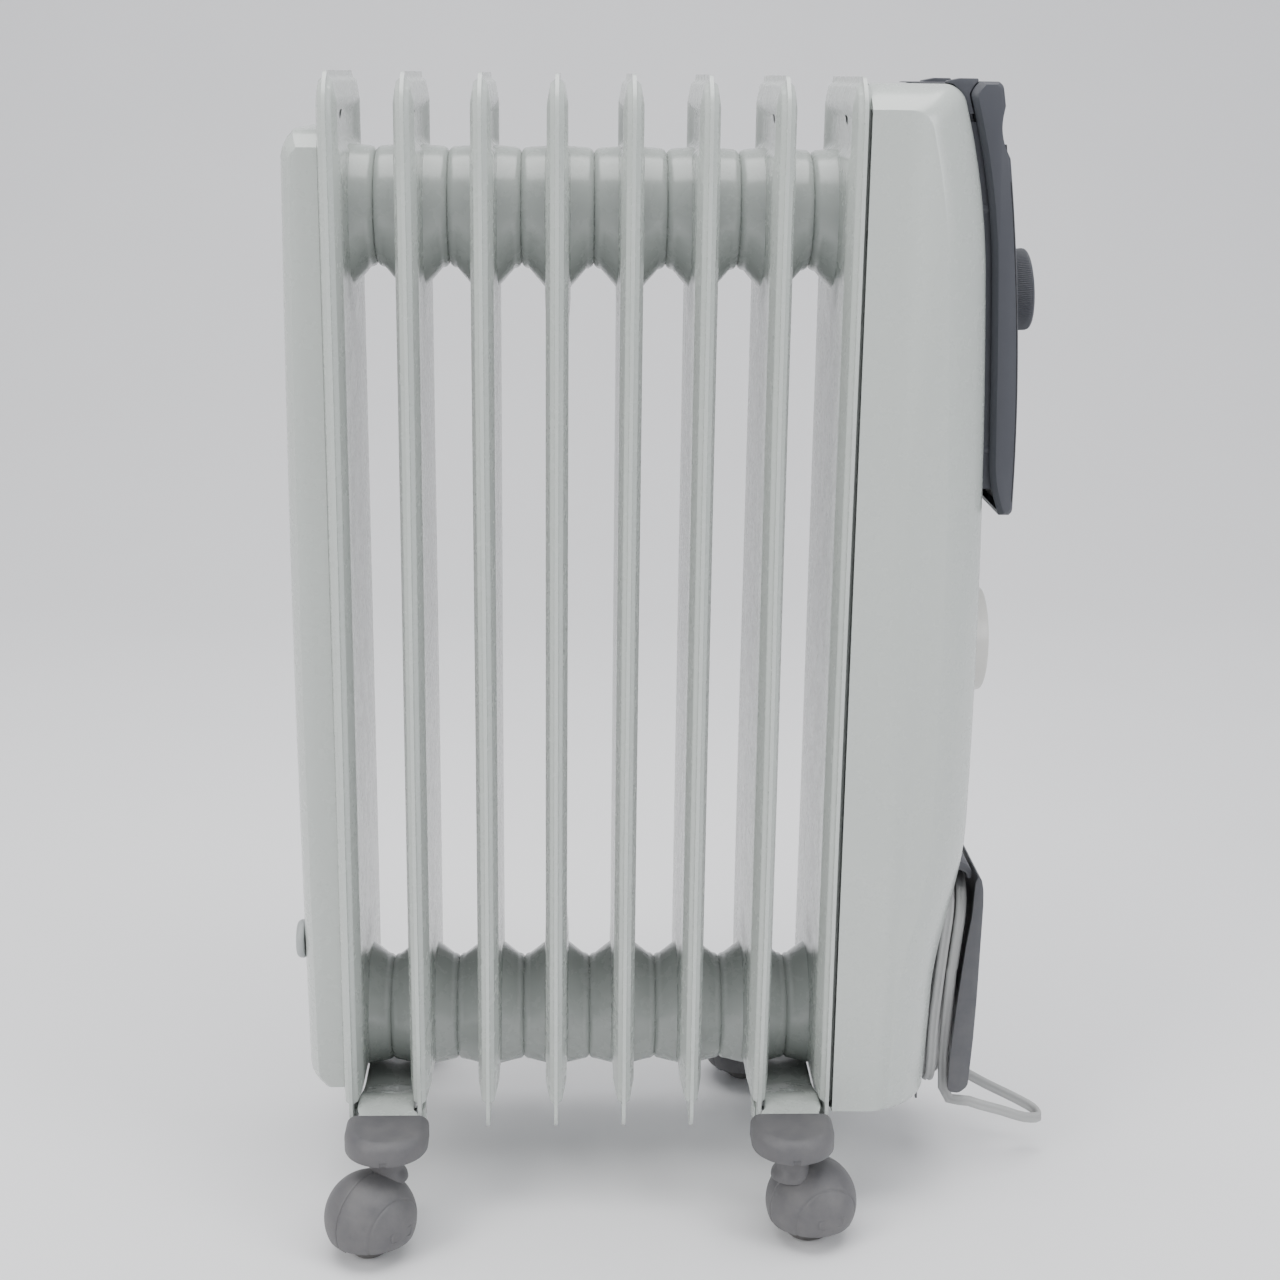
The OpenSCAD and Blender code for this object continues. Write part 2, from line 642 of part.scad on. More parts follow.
module terminal_block() color([0.88, 0.86, 0.80]) in_stack() difference() {
    union() for (i = [0 : 2]) box_between([shield_x + 1.2, 8 + i * 11, 268], [shield_x + 15, 18 + i * 11, 288]);
    for (i = [0 : 2], z = [273, 283])
        along_x(shield_x + 8, 13 + i * 11, z) cylinder(d = 4, h = 12);
}

module oil_filler_plug() color(steel) in_stack()
    along_x(fin_end_x + end_reach, 12, upper_hub_z) difference() {
        cylinder(d = 13, h = 3.6);
        translate([-5, -0.8, 2.4]) cube([10, 1.6, 3]);
    }

clip_zs = [140, 345, 560];
module housing_clips() color([0.10, 0.10, 0.11]) in_stack()
    for (side = [-1, 1], z = clip_zs) translate([0, side * 71.4, z]) {
        box_between([house_back - 0.2, -0.9, -5], [house_back + 9, 0.9, 5]);
        translate([0, side * 0.6, 0])
            box_between([house_back - 1, -1, -4], [house_back - 0.2, 1, 4]);
    }

module cover_screws() color(steel) in_stack() {
    for (z = [upper_hub_z, lower_hub_z]) along_x(-fin_end_x - end_reach - 8, 0, z)
        cylinder(d = 3.6, h = 7.8);
    for (y = [-55, 55], z = [190, 590]) along_x(shield_x + 1.2, y, z) {
        cylinder(d = 7, h = 2);
        translate([0, 0, 2]) cylinder(d = 3.4, h = 1);
    }
}

/* ---- Casters ---- */

// The straps lie under these hub joints
joint_x = fin_end_x - half_pitch;
strap_z = 58.5;                // underside of the strap below the hubs
strap_t = 1.5;
strap_half = 15.8;
arm_z = 66.8;                  // underside of the outer ends
lug_low = 53.5;                // lower edge of the turned-down lugs
clip_y = 57;                   // clips that hold the straps to the feet of the fins
clip_z = 57;
cap_half = 23.2;
cap_y = swivel_y;              // centre of the rounded end of a cap
cap_back = 92;                 // straight edge of a cap
cap_low = 59.8;
cap_high = 73;
cap_wall = 1.8;
stem_d = 8;
sleeve_low = 58.4;

strap_line = [[0, strap_z], [32, strap_z], [46, strap_z + 4], [58, arm_z], [122, arm_z]];
module strap_profile() {
    top = [for (p = strap_line) p + [0, strap_t]];
    full = concat(strap_line, [for (i = [len(strap_line) - 1 : -1 : 0]) top[i]]);
    for (side = [0, 1]) mirror([side, 0]) polygon(full);
}

module caster_bracket(side) color(paint) in_stack() difference() {
    union() {
        intersection() {
            translate([side * joint_x, 0, 0]) rotate([90, 0, 90])
                linear_extrude(2 * strap_half, center = true) strap_profile();
            box_between([-200, -78, 0], [200, 78, 100]);
        }
        for (end = [-1, 1]) intersection() {
            translate([side * (swivel_x + 0.5), 0, 0]) rotate([90, 0, 90])
                linear_extrude(33, center = true) strap_profile();
            union() {
                translate([side * swivel_x, end * swivel_y, 0]) cylinder(r = 20.8, h = 100);
                translate([0, end * (swivel_y + 76) / 2, 50]) cube([400, swivel_y - 76, 100], center = true);
            }
        }
        // turned-down lugs beside the feet of the two fins
        for (x = [-1, 1]) translate([side * joint_x + x * (strap_half - 0.9), 0, 0]) rotate([90, 0, 90])
            linear_extrude(1.8, center = true) polygon([[-66, lug_low], [66, lug_low], [66, arm_z + 0.5],
                [58, arm_z + 0.5], [46, strap_z + 4.5], [32, strap_z + 0.5], [-32, strap_z + 0.5],
                [-46, strap_z + 4.5], [-58, arm_z + 0.5], [-66, arm_z + 0.5]]);
    }
    for (y = [-49.5, 49.5]) translate([side * joint_x, y, 55]) cylinder(d = 6, h = 30);
    for (y = [-clip_y, clip_y]) along_x(side * joint_x - 25, y, clip_z) cylinder(d = 3.6, h = 50);
    for (y = [-swivel_y, swivel_y]) translate([side * swivel_x, y, 60])
        cylinder(d = stem_d + 0.2, h = 30);
}
module caster_bracket_1() caster_bracket(-1);
module caster_bracket_2() caster_bracket(1);

// Folded clips over the foot of each fin beside a strap
module bracket_clips() color(steel) in_stack()
    for (x = [-1, 1], side = [-1, 1], y = [-clip_y, clip_y])
        translate([x * joint_x + side * half_pitch, y, 0]) difference() {
            box_between([-2.4, -7, 50.6], [2.4, 7, 62]);
            box_between([-1.2, -8, 51.8], [1.2, 8, 63]);
            along_x(side > 0 ? -10 : 0, 0, clip_z) cylinder(d = 3.6, h = 10);
        }

module clip_screws() color(steel) in_stack()
    for (x = [-1, 1], side = [-1, 1], y = [-clip_y, clip_y])
        translate([x * joint_x, y, clip_z]) mirror([side > 0 ? 0 : 1, 0, 0]) {
            along_x(strap_half - 4.2, 0, 0) cylinder(d = 6.4, h = 2.2);
            along_x(strap_half - 2.1, 0, 0) cylinder(d = 3.4, h = half_pitch - strap_half + 0.8);
        }

module cap_profile(wall) {
    r = cap_half - wall;
    top = cap_high - wall;
    bend = 5 - wall;
    low = wall > 0 ? cap_low - 1 : cap_low;
    polygon(concat([[0, low], [r, low]],
        [for (a = [0 : 15 : 90]) [r - bend + bend * cos(a), top - bend + bend * sin(a)]],
        [[0, top]]));
}

module cap_solid(wall) {
    reach = cap_y - cap_back;
    rotate_extrude(angle = 180) cap_profile(wall);
    translate([0, wall > 0 ? -reach - 1 : -reach, 0]) rotate([90, 0, 180])
        linear_extrude(reach + (wall > 0 ? 1 : 0)) {
            cap_profile(wall);
            mirror([1, 0]) cap_profile(wall);
        }
}

module bracket_cap(sx, sy) color(dark) in_stack() translate([sx * swivel_x, 0, 0])
    mirror([0, sy < 0 ? 1 : 0, 0]) translate([0, cap_y, 0]) {
        difference() {
            cap_solid(0);
            cap_solid(cap_wall);
            translate([0, cap_half + 1, cap_low - 1]) cylinder(r = 2.4, h = 4);
        }
        for (x = [-11, 11]) box_between([x - 0.8, -10, arm_z + strap_t + 0.1],
            [x + 0.8, 14, cap_high - cap_wall + 0.5]);
    }
module bracket_cap_1() bracket_cap(-1, -1);
module bracket_cap_2() bracket_cap(1, -1);
module bracket_cap_3() bracket_cap(-1, 1);
module bracket_cap_4() bracket_cap(1, 1);

// Swivel axis and trail direction of each caster
casters = [[-1, -1, 228], [1, -1, 21], [-1, 1, 132], [1, 1, 216]];
module at_caster(i) in_stack()
    translate([casters[i][0] * swivel_x, casters[i][1] * swivel_y, 0])
        rotate([0, 0, casters[i][2]]) children();

stem_low = 47.4;
module caster_stems() color(steel) for (i = [0 : 3]) at_caster(i) {
    translate([0, 0, stem_low]) cylinder(d = stem_d, h = arm_z + strap_t + 1 - stem_low);
    translate([0, 0, sleeve_low]) cylinder(d = 13, h = arm_z - sleeve_low);
    translate([0, 0, arm_z + strap_t]) cylinder(d = 12, h = 1.4);
}

hood_z = 22.5;
hood_cut = 12.2;
hood_in = 24.7;
axle_d = 6;
collar_d = 17.7;

// Ball of the hood, flat at its open mouth
module hood_ball(r, mouth) {
    low = mouth - hood_z;
    a = asin(low / r);
    translate([trail, 0, hood_z]) rotate_extrude() polygon(concat([[0, low]],
        [for (i = [0 : 18]) let (t = a + (90 - a) * i / 18) [r * cos(t), r * sin(t)]]));
}

module caster_hood(i) color(dark) at_caster(i) difference() {
    union() {
        difference() {
            union() {
                hood_ball(hood_r, hood_cut);
                translate([0, 0, 32]) cylinder(d = collar_d, h = sleeve_low - 0.4 - 32);
            }
            hood_ball(hood_in, hood_cut - 1);
        }
        // middle web that carries the axle
        translate([trail, 0, 0]) rotate([90, 0, 0]) linear_extrude(5, center = true)
            intersection() {
                translate([0, hood_z]) circle(hood_in + 0.5);
                translate([-40, hood_cut]) square([80, 60]);
            }
    }
    translate([0, 0, stem_low - 0.1]) cylinder(d = stem_d + 2 * run_fit, h = 20);
    translate([trail, 0, wheel_r]) rotate([90, 0, 0])
        cylinder(d = axle_d + 2 * run_fit, h = 20, center = true);
}
module caster_hood_1() caster_hood(0);
module caster_hood_2() caster_hood(1);
module caster_hood_3() caster_hood(2);
module caster_hood_4() caster_hood(3);

module caster_wheel(i) color([0.07, 0.07, 0.07]) at_caster(i)
    translate([trail, 0, wheel_r]) rotate([90, 0, 0]) {
        cylinder(d = axle_d, h = 14, center = true);
        for (side = [0, 1]) mirror([0, 0, side]) rotate_extrude() polygon([[0, 3], [wheel_r - 0.6, 3],
            [wheel_r, 3.6], [wheel_r, 6.4], [wheel_r - 1.4, 8.6], [wheel_r - 4, 10.6],
            [14, 11.6], [12, 9], [6, 9], [5, 11], [0, 11]]);
    }
module caster_wheel_1() caster_wheel(0);
module caster_wheel_2() caster_wheel(1);
module caster_wheel_3() caster_wheel(2);
module caster_wheel_4() caster_wheel(3);

module fin_1() fin(0);
module fin_2() fin(1);
module fin_3() fin(2);
module fin_4() fin(3);
module fin_5() fin(4);
module fin_6() fin(5);
module fin_7() fin(6);
module fin_8() fin(7);

fin_1();
fin_2();
fin_3();
fin_4();
fin_5();
fin_6();
fin_7();
fin_8();
rear_cover();
wall_bumpers();
control_housing();
heat_shield();
control_panel();
carry_handle();
thermostat_body();
thermostat_shaft();
thermostat_knob();
switch_bodies();
power_switch_1();
power_switch_2();
pilot_lamp();
timer_bezel();
timer_module();
timer_dial();
timer_tappets();
wrap_base();
wrap_outer_plate();
cord_strain_relief();
cord_hank();
cord_loop();
cord_tail();
mains_plug();
heating_element();
element_flange();
thermal_cutout();
tip_over_switch();
terminal_block();
oil_filler_plug();
housing_clips();
cover_screws();
caster_bracket_1();
caster_bracket_2();
bracket_clips();
clip_screws();
bracket_cap_1();
bracket_cap_2();
bracket_cap_3();
bracket_cap_4();
caster_stems();
caster_hood_1();
caster_hood_2();
caster_hood_3();
caster_hood_4();
caster_wheel_1();
caster_wheel_2();
caster_wheel_3();
caster_wheel_4();
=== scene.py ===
import math
import bmesh
import bpy
import numpy as np
from mathutils import Matrix, Vector


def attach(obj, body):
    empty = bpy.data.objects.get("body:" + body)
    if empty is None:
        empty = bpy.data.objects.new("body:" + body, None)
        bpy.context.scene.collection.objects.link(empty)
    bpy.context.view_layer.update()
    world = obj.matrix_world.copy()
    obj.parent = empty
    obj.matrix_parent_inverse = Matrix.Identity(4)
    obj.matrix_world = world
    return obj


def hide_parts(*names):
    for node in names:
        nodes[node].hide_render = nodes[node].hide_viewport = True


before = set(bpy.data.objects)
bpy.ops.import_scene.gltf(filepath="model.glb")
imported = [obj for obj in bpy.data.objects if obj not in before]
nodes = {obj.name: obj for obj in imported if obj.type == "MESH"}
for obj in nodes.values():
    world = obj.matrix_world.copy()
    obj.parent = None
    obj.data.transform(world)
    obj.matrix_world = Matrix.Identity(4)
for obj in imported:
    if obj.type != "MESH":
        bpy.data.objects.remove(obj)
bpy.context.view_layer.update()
STACK_X = -36.5
D = bpy.data


# ---- camera, at the photo's angle ----
def make_camera():
    yaw, pitch, roll = (math.radians(a) for a in (2.035, -15.518, 0.721))
    fwd = Vector((math.sin(yaw) * math.cos(pitch), math.cos(yaw) * math.cos(pitch), math.sin(pitch)))
    right = Vector((math.cos(yaw), -math.sin(yaw), 0))
    up = right.cross(fwd)
    r2 = right * math.cos(roll) + up * math.sin(roll)
    u2 = up * math.cos(roll) - right * math.sin(roll)
    cam = D.objects.new("camera", D.cameras.new("camera"))
    bpy.context.collection.objects.link(cam)
    m = Matrix((r2, u2, -fwd)).transposed().to_4x4()
    m.translation = Vector((-0.0486, -1.1294, 0.6397))
    cam.matrix_world = m
    cam.data.sensor_width = 36
    cam.data.lens = 2036.7 * 36 / 1280
    bpy.context.scene.camera = cam


make_camera()


# ---- materials ----
def new_material(name):
    mat = D.materials.new(name)
    mat.use_nodes = True
    nt = mat.node_tree
    return mat, nt, nt.nodes["Principled BSDF"]


def node(nt, kind, **values):
    n = nt.nodes.new(kind)
    for key, v in values.items():
        if key in n.inputs:
            n.inputs[key].default_value = v
        else:
            setattr(n, key, v)
    return n


def noise(nt, coord, scale, detail=3.0, rough=0.5):
    n = node(nt, "ShaderNodeTexNoise", Scale=scale, Detail=detail, Roughness=rough)
    nt.links.new(coord, n.inputs["Vector"])
    return n.outputs["Fac"]


def remap(nt, value, lo, hi, a, b):
    n = nt.nodes.new("ShaderNodeMapRange")
    for k, v in zip(("From Min", "From Max", "To Min", "To Max"), (lo, hi, a, b)):
        n.inputs[k].default_value = v
    nt.links.new(value, n.inputs["Value"])
    return n.outputs["Result"]


def mix(nt, fac, a, b):
    n = nt.nodes.new("ShaderNodeMix")
    n.data_type = "RGBA"
    if isinstance(fac, float):
        n.inputs[0].default_value = fac
    else:
        nt.links.new(fac, n.inputs[0])
    for i, c in ((6, a), (7, b)):
        if isinstance(c, tuple):
            n.inputs[i].default_value = (*c, 1.0)
        else:
            nt.links.new(c, n.inputs[i])
    return n.outputs[2]


def math_node(nt, op, a, b=0.0):
    n = nt.nodes.new("ShaderNodeMath")
    n.operation = op
    for i, v in enumerate((a, b)):
        if isinstance(v, (int, float)):
            n.inputs[i].default_value = v
        else:
            nt.links.new(v, n.inputs[i])
    return n.outputs[0]


def surface(name, base, tint, rough, grain, grain_depth, blotch=0.5, spec=0.5, coat=0.0, metal=0.0,
            dust=0.0, rough_var=0.08):
    """A moulded or painted surface: mottled colour, fine grain bump, uneven roughness, dust low down."""
    mat, nt, bsdf = new_material(name)
    coord = nt.nodes.new("ShaderNodeTexCoord").outputs["Object"]
    big = noise(nt, coord, 9.0, 4.0, 0.6)
    mid = noise(nt, coord, 70.0, 5.0, 0.65)
    fine = noise(nt, coord, grain, 2.0, 0.5)
    fac = remap(nt, big, 0.35, 0.65, 0.0, blotch)
    colour = mix(nt, fac, base, tint)
    speck = remap(nt, mid, 0.62, 0.72, 0.0, 0.10)
    colour = mix(nt, speck, colour, tuple(c * 0.88 for c in base))
    if dust:
        z = nt.nodes.new("ShaderNodeSeparateXYZ")
        nt.links.new(coord, z.inputs[0])
        low = remap(nt, z.outputs[2], 0.0, 0.35, dust, 0.0)
        colour = mix(nt, math_node(nt, "MULTIPLY", low, mid), colour, (0.42, 0.40, 0.37))
    nt.links.new(colour, bsdf.inputs["Base Color"])
    r = remap(nt, mid, 0.3, 0.7, rough - rough_var, rough + rough_var)
    nt.links.new(r, bsdf.inputs["Roughness"])
    bsdf.inputs["Specular IOR Level"].default_value = spec
    bsdf.inputs["Metallic"].default_value = metal
    bsdf.inputs["Coat Weight"].default_value = coat
    bsdf.inputs["Coat Roughness"].default_value = 0.18
    bump = node(nt, "ShaderNodeBump", Strength=1.0, Distance=grain_depth)
    height = math_node(nt, "ADD", fine, math_node(nt, "MULTIPLY", mid, 0.6))
    nt.links.new(height, bump.inputs["Height"])
    nt.links.new(bump.outputs[0], bsdf.inputs["Normal"])
    return mat


paint = surface("enamel_paint", (0.455, 0.485, 0.462), (0.435, 0.468, 0.445), 0.27, 420.0, 0.00004,
                coat=0.45, dust=0.06, rough_var=0.04)
dark = surface("dark_grey_plastic", (0.046, 0.049, 0.060), (0.054, 0.057, 0.068), 0.46, 2600.0, 0.00010,
               dust=0.25, blotch=0.8)
dark_low = surface("caster_grey_plastic", (0.052, 0.053, 0.062), (0.062, 0.063, 0.072), 0.52, 2200.0,
                   0.00012, dust=0.30, blotch=0.8)
black = surface("black_rubber", (0.016, 0.016, 0.018), (0.028, 0.028, 0.030), 0.62, 1800.0, 0.00012,
                dust=0.30)
black_gloss = surface("black_switch_plastic", (0.012, 0.012, 0.013), (0.016, 0.016, 0.018), 0.28,
                      1500.0, 0.00003)
red = surface("red_rocker_plastic", (0.48, 0.035, 0.022), (0.42, 0.028, 0.018), 0.25, 900.0, 0.00002,
              coat=0.3)
amber = surface("amber_lens", (0.72, 0.22, 0.03), (0.62, 0.16, 0.02), 0.15, 700.0, 0.00002, coat=0.6)
ivory = surface("ivory_plastic", (0.56, 0.555, 0.53), (0.53, 0.52, 0.49), 0.36, 1800.0, 0.00004,
                coat=0.1)
moulding = surface("cream_moulding", (0.60, 0.58, 0.52), (0.55, 0.52, 0.46), 0.5, 1500.0, 0.00006)
vinyl = surface("grey_cord_vinyl", (0.36, 0.365, 0.36), (0.32, 0.325, 0.325), 0.42, 900.0, 0.00010,
                blotch=0.7, dust=0.15)
bumper = surface("light_grey_plastic", (0.36, 0.38, 0.38), (0.33, 0.35, 0.35), 0.45, 1500.0, 0.00006)
steel = surface("zinc_plated_steel", (0.46, 0.46, 0.47), (0.36, 0.37, 0.40), 0.34, 260.0, 0.00008,
                metal=1.0, blotch=0.9, rough_var=0.12)


# ---- mesh tools ----
def crease(obj, degrees):
    """Smooth shading, with edges sharper than this left hard."""
    obj.data.shade_smooth()
    obj.data.set_sharp_from_angle(angle=math.radians(degrees))


def at_y(x, y, z):
    """Points of one section: all at the same Y."""
    return np.stack([x, np.full_like(z, y), z], -1)


def from_stack(obj):
    """Moves a mesh drawn from the middle of the fin stack into the model's frame."""
    obj.data.transform(Matrix.Translation((STACK_X / 1000, 0, 0)))
    return obj


def link(name, verts, faces, mat, body="radiator", smooth=True, angle=None, scale=0.001):
    mesh = D.meshes.new(name)
    v = np.asarray(verts, float) * scale
    mesh.from_pydata(v.tolist(), [], [list(map(int, f)) for f in faces])
    mesh.validate()
    bm = bmesh.new()
    bm.from_mesh(mesh)
    bmesh.ops.recalc_face_normals(bm, faces=bm.faces)
    bm.to_mesh(mesh)
    bm.free()
    obj = D.objects.new(name, mesh)
    bpy.context.collection.objects.link(obj)
    mesh.materials.append(mat)
    if smooth:
        mesh.shade_smooth()
        if angle is not None:
            crease(obj, angle)
    if body:
        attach(obj, body)
    return obj


def apply_modifier(obj, kind, **values):
    mod = obj.modifiers.new(kind, kind)
    for k, v in values.items():
        setattr(mod, k, v)
    bpy.context.view_layer.objects.active = obj
    deps = bpy.context.evaluated_depsgraph_get()
    done = D.meshes.new_from_object(obj.evaluated_get(deps))
    obj.modifiers.clear()
    obj.data = done
    return obj


def bevel(obj, width, segments=2, angle=30):
    apply_modifier(obj, "BEVEL", width=width, segments=segments, limit_method="ANGLE",
                   angle_limit=math.radians(angle), harden_normals=False)
    crease(obj, 40)
    return obj


def cut(obj, *tools):
    for t in tools:
        apply_modifier(obj, "BOOLEAN", operation="DIFFERENCE", object=t, solver="EXACT")
        D.objects.remove(t)
    return obj


def grid_faces(rows, cols, close_rows=False, close_cols=False, start=0):
    i, j = np.meshgrid(np.arange(rows - (not close_rows)), np.arange(cols - (not close_cols)), indexing="ij")
    i2, j2 = (i + 1) % rows, (j + 1) % cols
    quads = np.stack([i * cols + j, i * cols + j2, i2 * cols + j2, i2 * cols + j], -1)
    return (quads.reshape(-1, 4) + start).tolist()


def loft(name, sections, mat, caps=True, **kw):
    """A closed skin through sections that all have the same number of points."""
    s = np.asarray(sections, float)
    m, n = s.shape[:2]
    faces = grid_faces(m, n, close_cols=True)
    if caps:
        faces += [list(range(n)), list(range((m - 1) * n, m * n))]
    return link(name, s.reshape(-1, 3), faces, mat, **kw)


def axis_matrix(at, axis):
    """Takes the Z axis to this axis, from this point (mm)."""
    q = Vector((0, 0, 1)).rotation_difference(Vector(axis).normalized())
    return Matrix.Translation(Vector(at)) @ q.to_matrix().to_4x4()


def lathe_points(profile, n, radius_mod=None):
    p = np.asarray(profile, float)
    a = np.linspace(0, 2 * math.pi, n, endpoint=False)
    r = np.repeat(p[:, :1], n, 1)
    if radius_mod is not None:
        r = radius_mod(r, a[None, :], p[:, 1:2])
    return np.stack([r * np.cos(a), r * np.sin(a), np.repeat(p[:, 1:2], n, 1)], -1)


def lathe(name, profile, mat, at=(0, 0, 0), axis=(0, 0, 1), n=64, mod=None, **kw):
    pts = lathe_points(profile, n, mod)
    faces = grid_faces(len(profile), n, close_cols=True)
    m = np.array(axis_matrix(at, axis))
    v = pts.reshape(-1, 3) @ m[:3, :3].T + m[:3, 3]
    return link(name, v, faces, mat, **kw)


def fillet(points, radius, steps=4):
    """Rounds the corners of an open profile."""
    out = [points[0]]
    for a, b, c in zip(points, points[1:], points[2:]):
        a, b, c = (np.asarray(p, float) for p in (a, b, c))
        u, v = a - b, c - b
        lu, lv = np.linalg.norm(u), np.linalg.norm(v)
        r = min(radius, lu * 0.45, lv * 0.45)
        p, q = b + u / lu * r, b + v / lv * r
        for k in range(steps + 1):
            t = k / steps
            out.append((p * (1 - t) ** 2 + 2 * b * t * (1 - t) + q * t * t).tolist())
    out.append(points[-1])
    return out


def rounded_loop(points, radius, steps=4):
    out = []
    n = len(points)
    for k in range(n):
        a, b, c = points[k - 1], points[k], points[(k + 1) % n]
        out += fillet([a, b, c], radius, steps)[1:-1]
    return out


def prism(name, outline, y0, y1, mat, round_r=0.0, bevel_r=0.0, axis="y", **kw):
    """An outline drawn in X and Z (or X and Y for axis z), pulled straight and bevelled."""
    o = rounded_loop(outline, round_r) if round_r else outline
    pt = (lambda p, d: (p[0], d, p[1])) if axis == "y" else (lambda p, d: (p[0], p[1], d))
    obj = loft(name, [[pt(p, y0) for p in o], [pt(p, y1) for p in o]], mat, **kw)
    if bevel_r:
        bevel(obj, bevel_r / 1000)
    else:
        crease(obj, 35)
    return obj


def smooth(v):
    t = np.clip(v, 0, 1)
    return t * t * (3 - 2 * t)


def join(name, objs, body="radiator"):
    """Makes one object out of several with the same material."""
    bm = bmesh.new()
    for o in objs:
        bm.from_mesh(o.data)
    mesh = D.meshes.new(name)
    mats = [m for m in objs[0].data.materials]
    bm.to_mesh(mesh)
    bm.free()
    for m in mats:
        mesh.materials.append(m)
    for o in objs:
        D.objects.remove(o)
    obj = D.objects.new(name, mesh)
    bpy.context.collection.objects.link(obj)
    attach(obj, body)
    return obj


def in_model(points):
    p = np.array(points, float)
    p[..., 0] += STACK_X
    return p


# ---- mains cord ----
CORD_W, CORD_T = 6.2, 3.6


def catmull(points, steps):
    p = np.asarray(points, float)
    p = np.vstack([2 * p[0] - p[1], p, 2 * p[-1] - p[-2]])
    out = []
    for i in range(1, len(p) - 2):
        a, b, c, d = p[i - 1:i + 3]
        for k in range(steps):
            t = k / steps
            out.append(0.5 * (2 * b + (c - a) * t + (2 * a - 5 * b + 4 * c - d) * t * t
                              + (3 * b - a - 3 * c + d) * t ** 3))
    out.append(p[-2])
    return np.array(out)


HANK = dict(low=52, high=188, half=32, t=12.6, lean=math.radians(4.9), x=209.1)


def hank_point(u, v, w):
    """A point of the winding: u across, v up from its middle, w through its thickness."""
    mid = (HANK["low"] + HANK["high"]) / 2
    c, s = math.cos(HANK["lean"]), math.sin(HANK["lean"])
    return [HANK["x"] + w * c + v * s, u, mid + v * c - w * s]


LAYER_STEP = CORD_T + 0.25
COLUMN = CORD_W / 2 + 0.05


def turn_point(f, inset, w):
    """A point of one turn: up the far side, over the top, down the near side and under."""
    hh = (HANK["high"] - HANK["low"]) / 2 - inset
    hw, r = HANK["half"] - inset, 24 - inset
    lengths = [2 * (hh - r), math.pi * r / 2, 2 * (hw - r), math.pi * r / 2] * 2
    d = f * sum(lengths)
    i = 0
    while d > lengths[i] and i < 7:
        d -= lengths[i]
        i += 1
    t = d / lengths[i]
    if i == 0:
        u, v = hw, (hh - r) * (2 * t - 1)
    elif i == 2:
        u, v = (hw - r) * (1 - 2 * t), hh
    elif i == 4:
        u, v = -hw, (hh - r) * (1 - 2 * t)
    elif i == 6:
        u, v = (hw - r) * (2 * t - 1), -hh
    else:
        cu, cv = {1: (1, 1), 3: (-1, 1), 5: (-1, -1), 7: (1, -1)}[i]
        a = math.radians({1: 0, 3: 90, 5: 180, 7: 270}[i] + 90 * t)
        u, v = cu * (hw - r) + r * math.cos(a), cv * (hh - r) + r * math.sin(a)
    return hank_point(u, v, w)


def winding_route():
    """Turns round the core in two columns and three layers, drifting a little like hand-wound cord."""
    columns = [-1, 1, 1, -1, -1, 1]
    layers = [2, 2, 1, 1, 0, 0]
    pts = []
    for turn in range(6):
        last = turn == 5
        n = 23 if last else 36
        for k in range(3 if turn == 0 else 0, n):
            f = k / 36
            b = 0 if last else smooth((f - 0.66) / 0.30)
            nxt = min(turn + 1, 5)
            inset = CORD_T / 2 + 0.3 + LAYER_STEP * (layers[turn] * (1 - b) + layers[nxt] * b)
            slant = 0.9 * math.sin(2.3 * turn + 5 * f)
            w = COLUMN * (columns[turn] * (1 - b) + columns[nxt] * b) + slant
            pts.append(turn_point(f, inset, float(np.clip(w, -3.6, 3.6))))
    return pts


def flat_profile(n=28):
    """Two round cores side by side with a groove between them."""
    out = []
    for k in range(n):
        a = 2 * math.pi * k / n
        x, y = math.cos(a), math.sin(a)
        px = math.copysign(abs(x) ** 0.8, x) * CORD_W / 2
        py = math.copysign(abs(y) ** 0.75, y) * CORD_T / 2
        groove = math.exp(-(px / 0.55) ** 2) * 0.75
        out.append((px, py - math.copysign(groove, py)))
    return np.array(out)


def sweep(name, path, across, profile, mat, body="radiator"):
    p = in_model(path)
    n = len(p)
    tang = np.gradient(p, axis=0)
    tang /= np.linalg.norm(tang, axis=1)[:, None]
    rings = []
    for i in range(n):
        side = across[i] - np.dot(across[i], tang[i]) * tang[i]
        side /= np.linalg.norm(side)
        up = np.cross(tang[i], side)
        rings.append(p[i] + profile[:, :1] * side + profile[:, 1:] * up)
    return loft(name, rings, mat, body=body)


LOOP = [[205, -17, 61], [213, -26, 54.5], [229, -27, 45.5], [250, -22, 36.5], [266, -17, 29],
        [277, -8, 24.5], [275, 1, 25.5], [263, 4, 31.5], [247, 6, 39], [232, 9, 46.5], [218, 12, 53.5],
        [207, 14, 60]]
TAIL = [[209, 28, 148], [211, 38, 157], [215, 48, 159], [217, 53.5, 151], [217, 54, 142], [217, 54, 128]]


def cord_route():
    """The whole cord: exit, winding, slack loop, and the tail to the plug."""
    start = [[197.5, 19.5, 72], [199.2, 20.5, 80]]
    wound = winding_route()
    rise = [[206.5, 27, 66], [208.2, 31.5, 84], [209.0, 33, 108], [209.2, 32, 130]]
    knots = start + wound + LOOP[1:] + rise + TAIL
    return catmull(knots, 3)


def make_cord():
    route = cord_route()
    # broad side faces the winding's axis, then turns level in the loop
    across = np.tile(np.array(hank_point(0, 0, 1)) - np.array(hank_point(0, 0, 0)), (len(route), 1))
    z, x = route[:, 2], route[:, 0]
    free = smooth((56 - z) / 8) * smooth((x - 206) / 6)
    across = across * (1 - free[:, None]) + np.array([0.0, 0.25, 1.0]) * free[:, None]
    cord = sweep("mains_cord", route, across, flat_profile(), vinyl)
    crease(cord, 80)
    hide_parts("cord_hank", "cord_loop", "cord_tail")
    plug = make_plug()
    path = in_model(route) / 1000


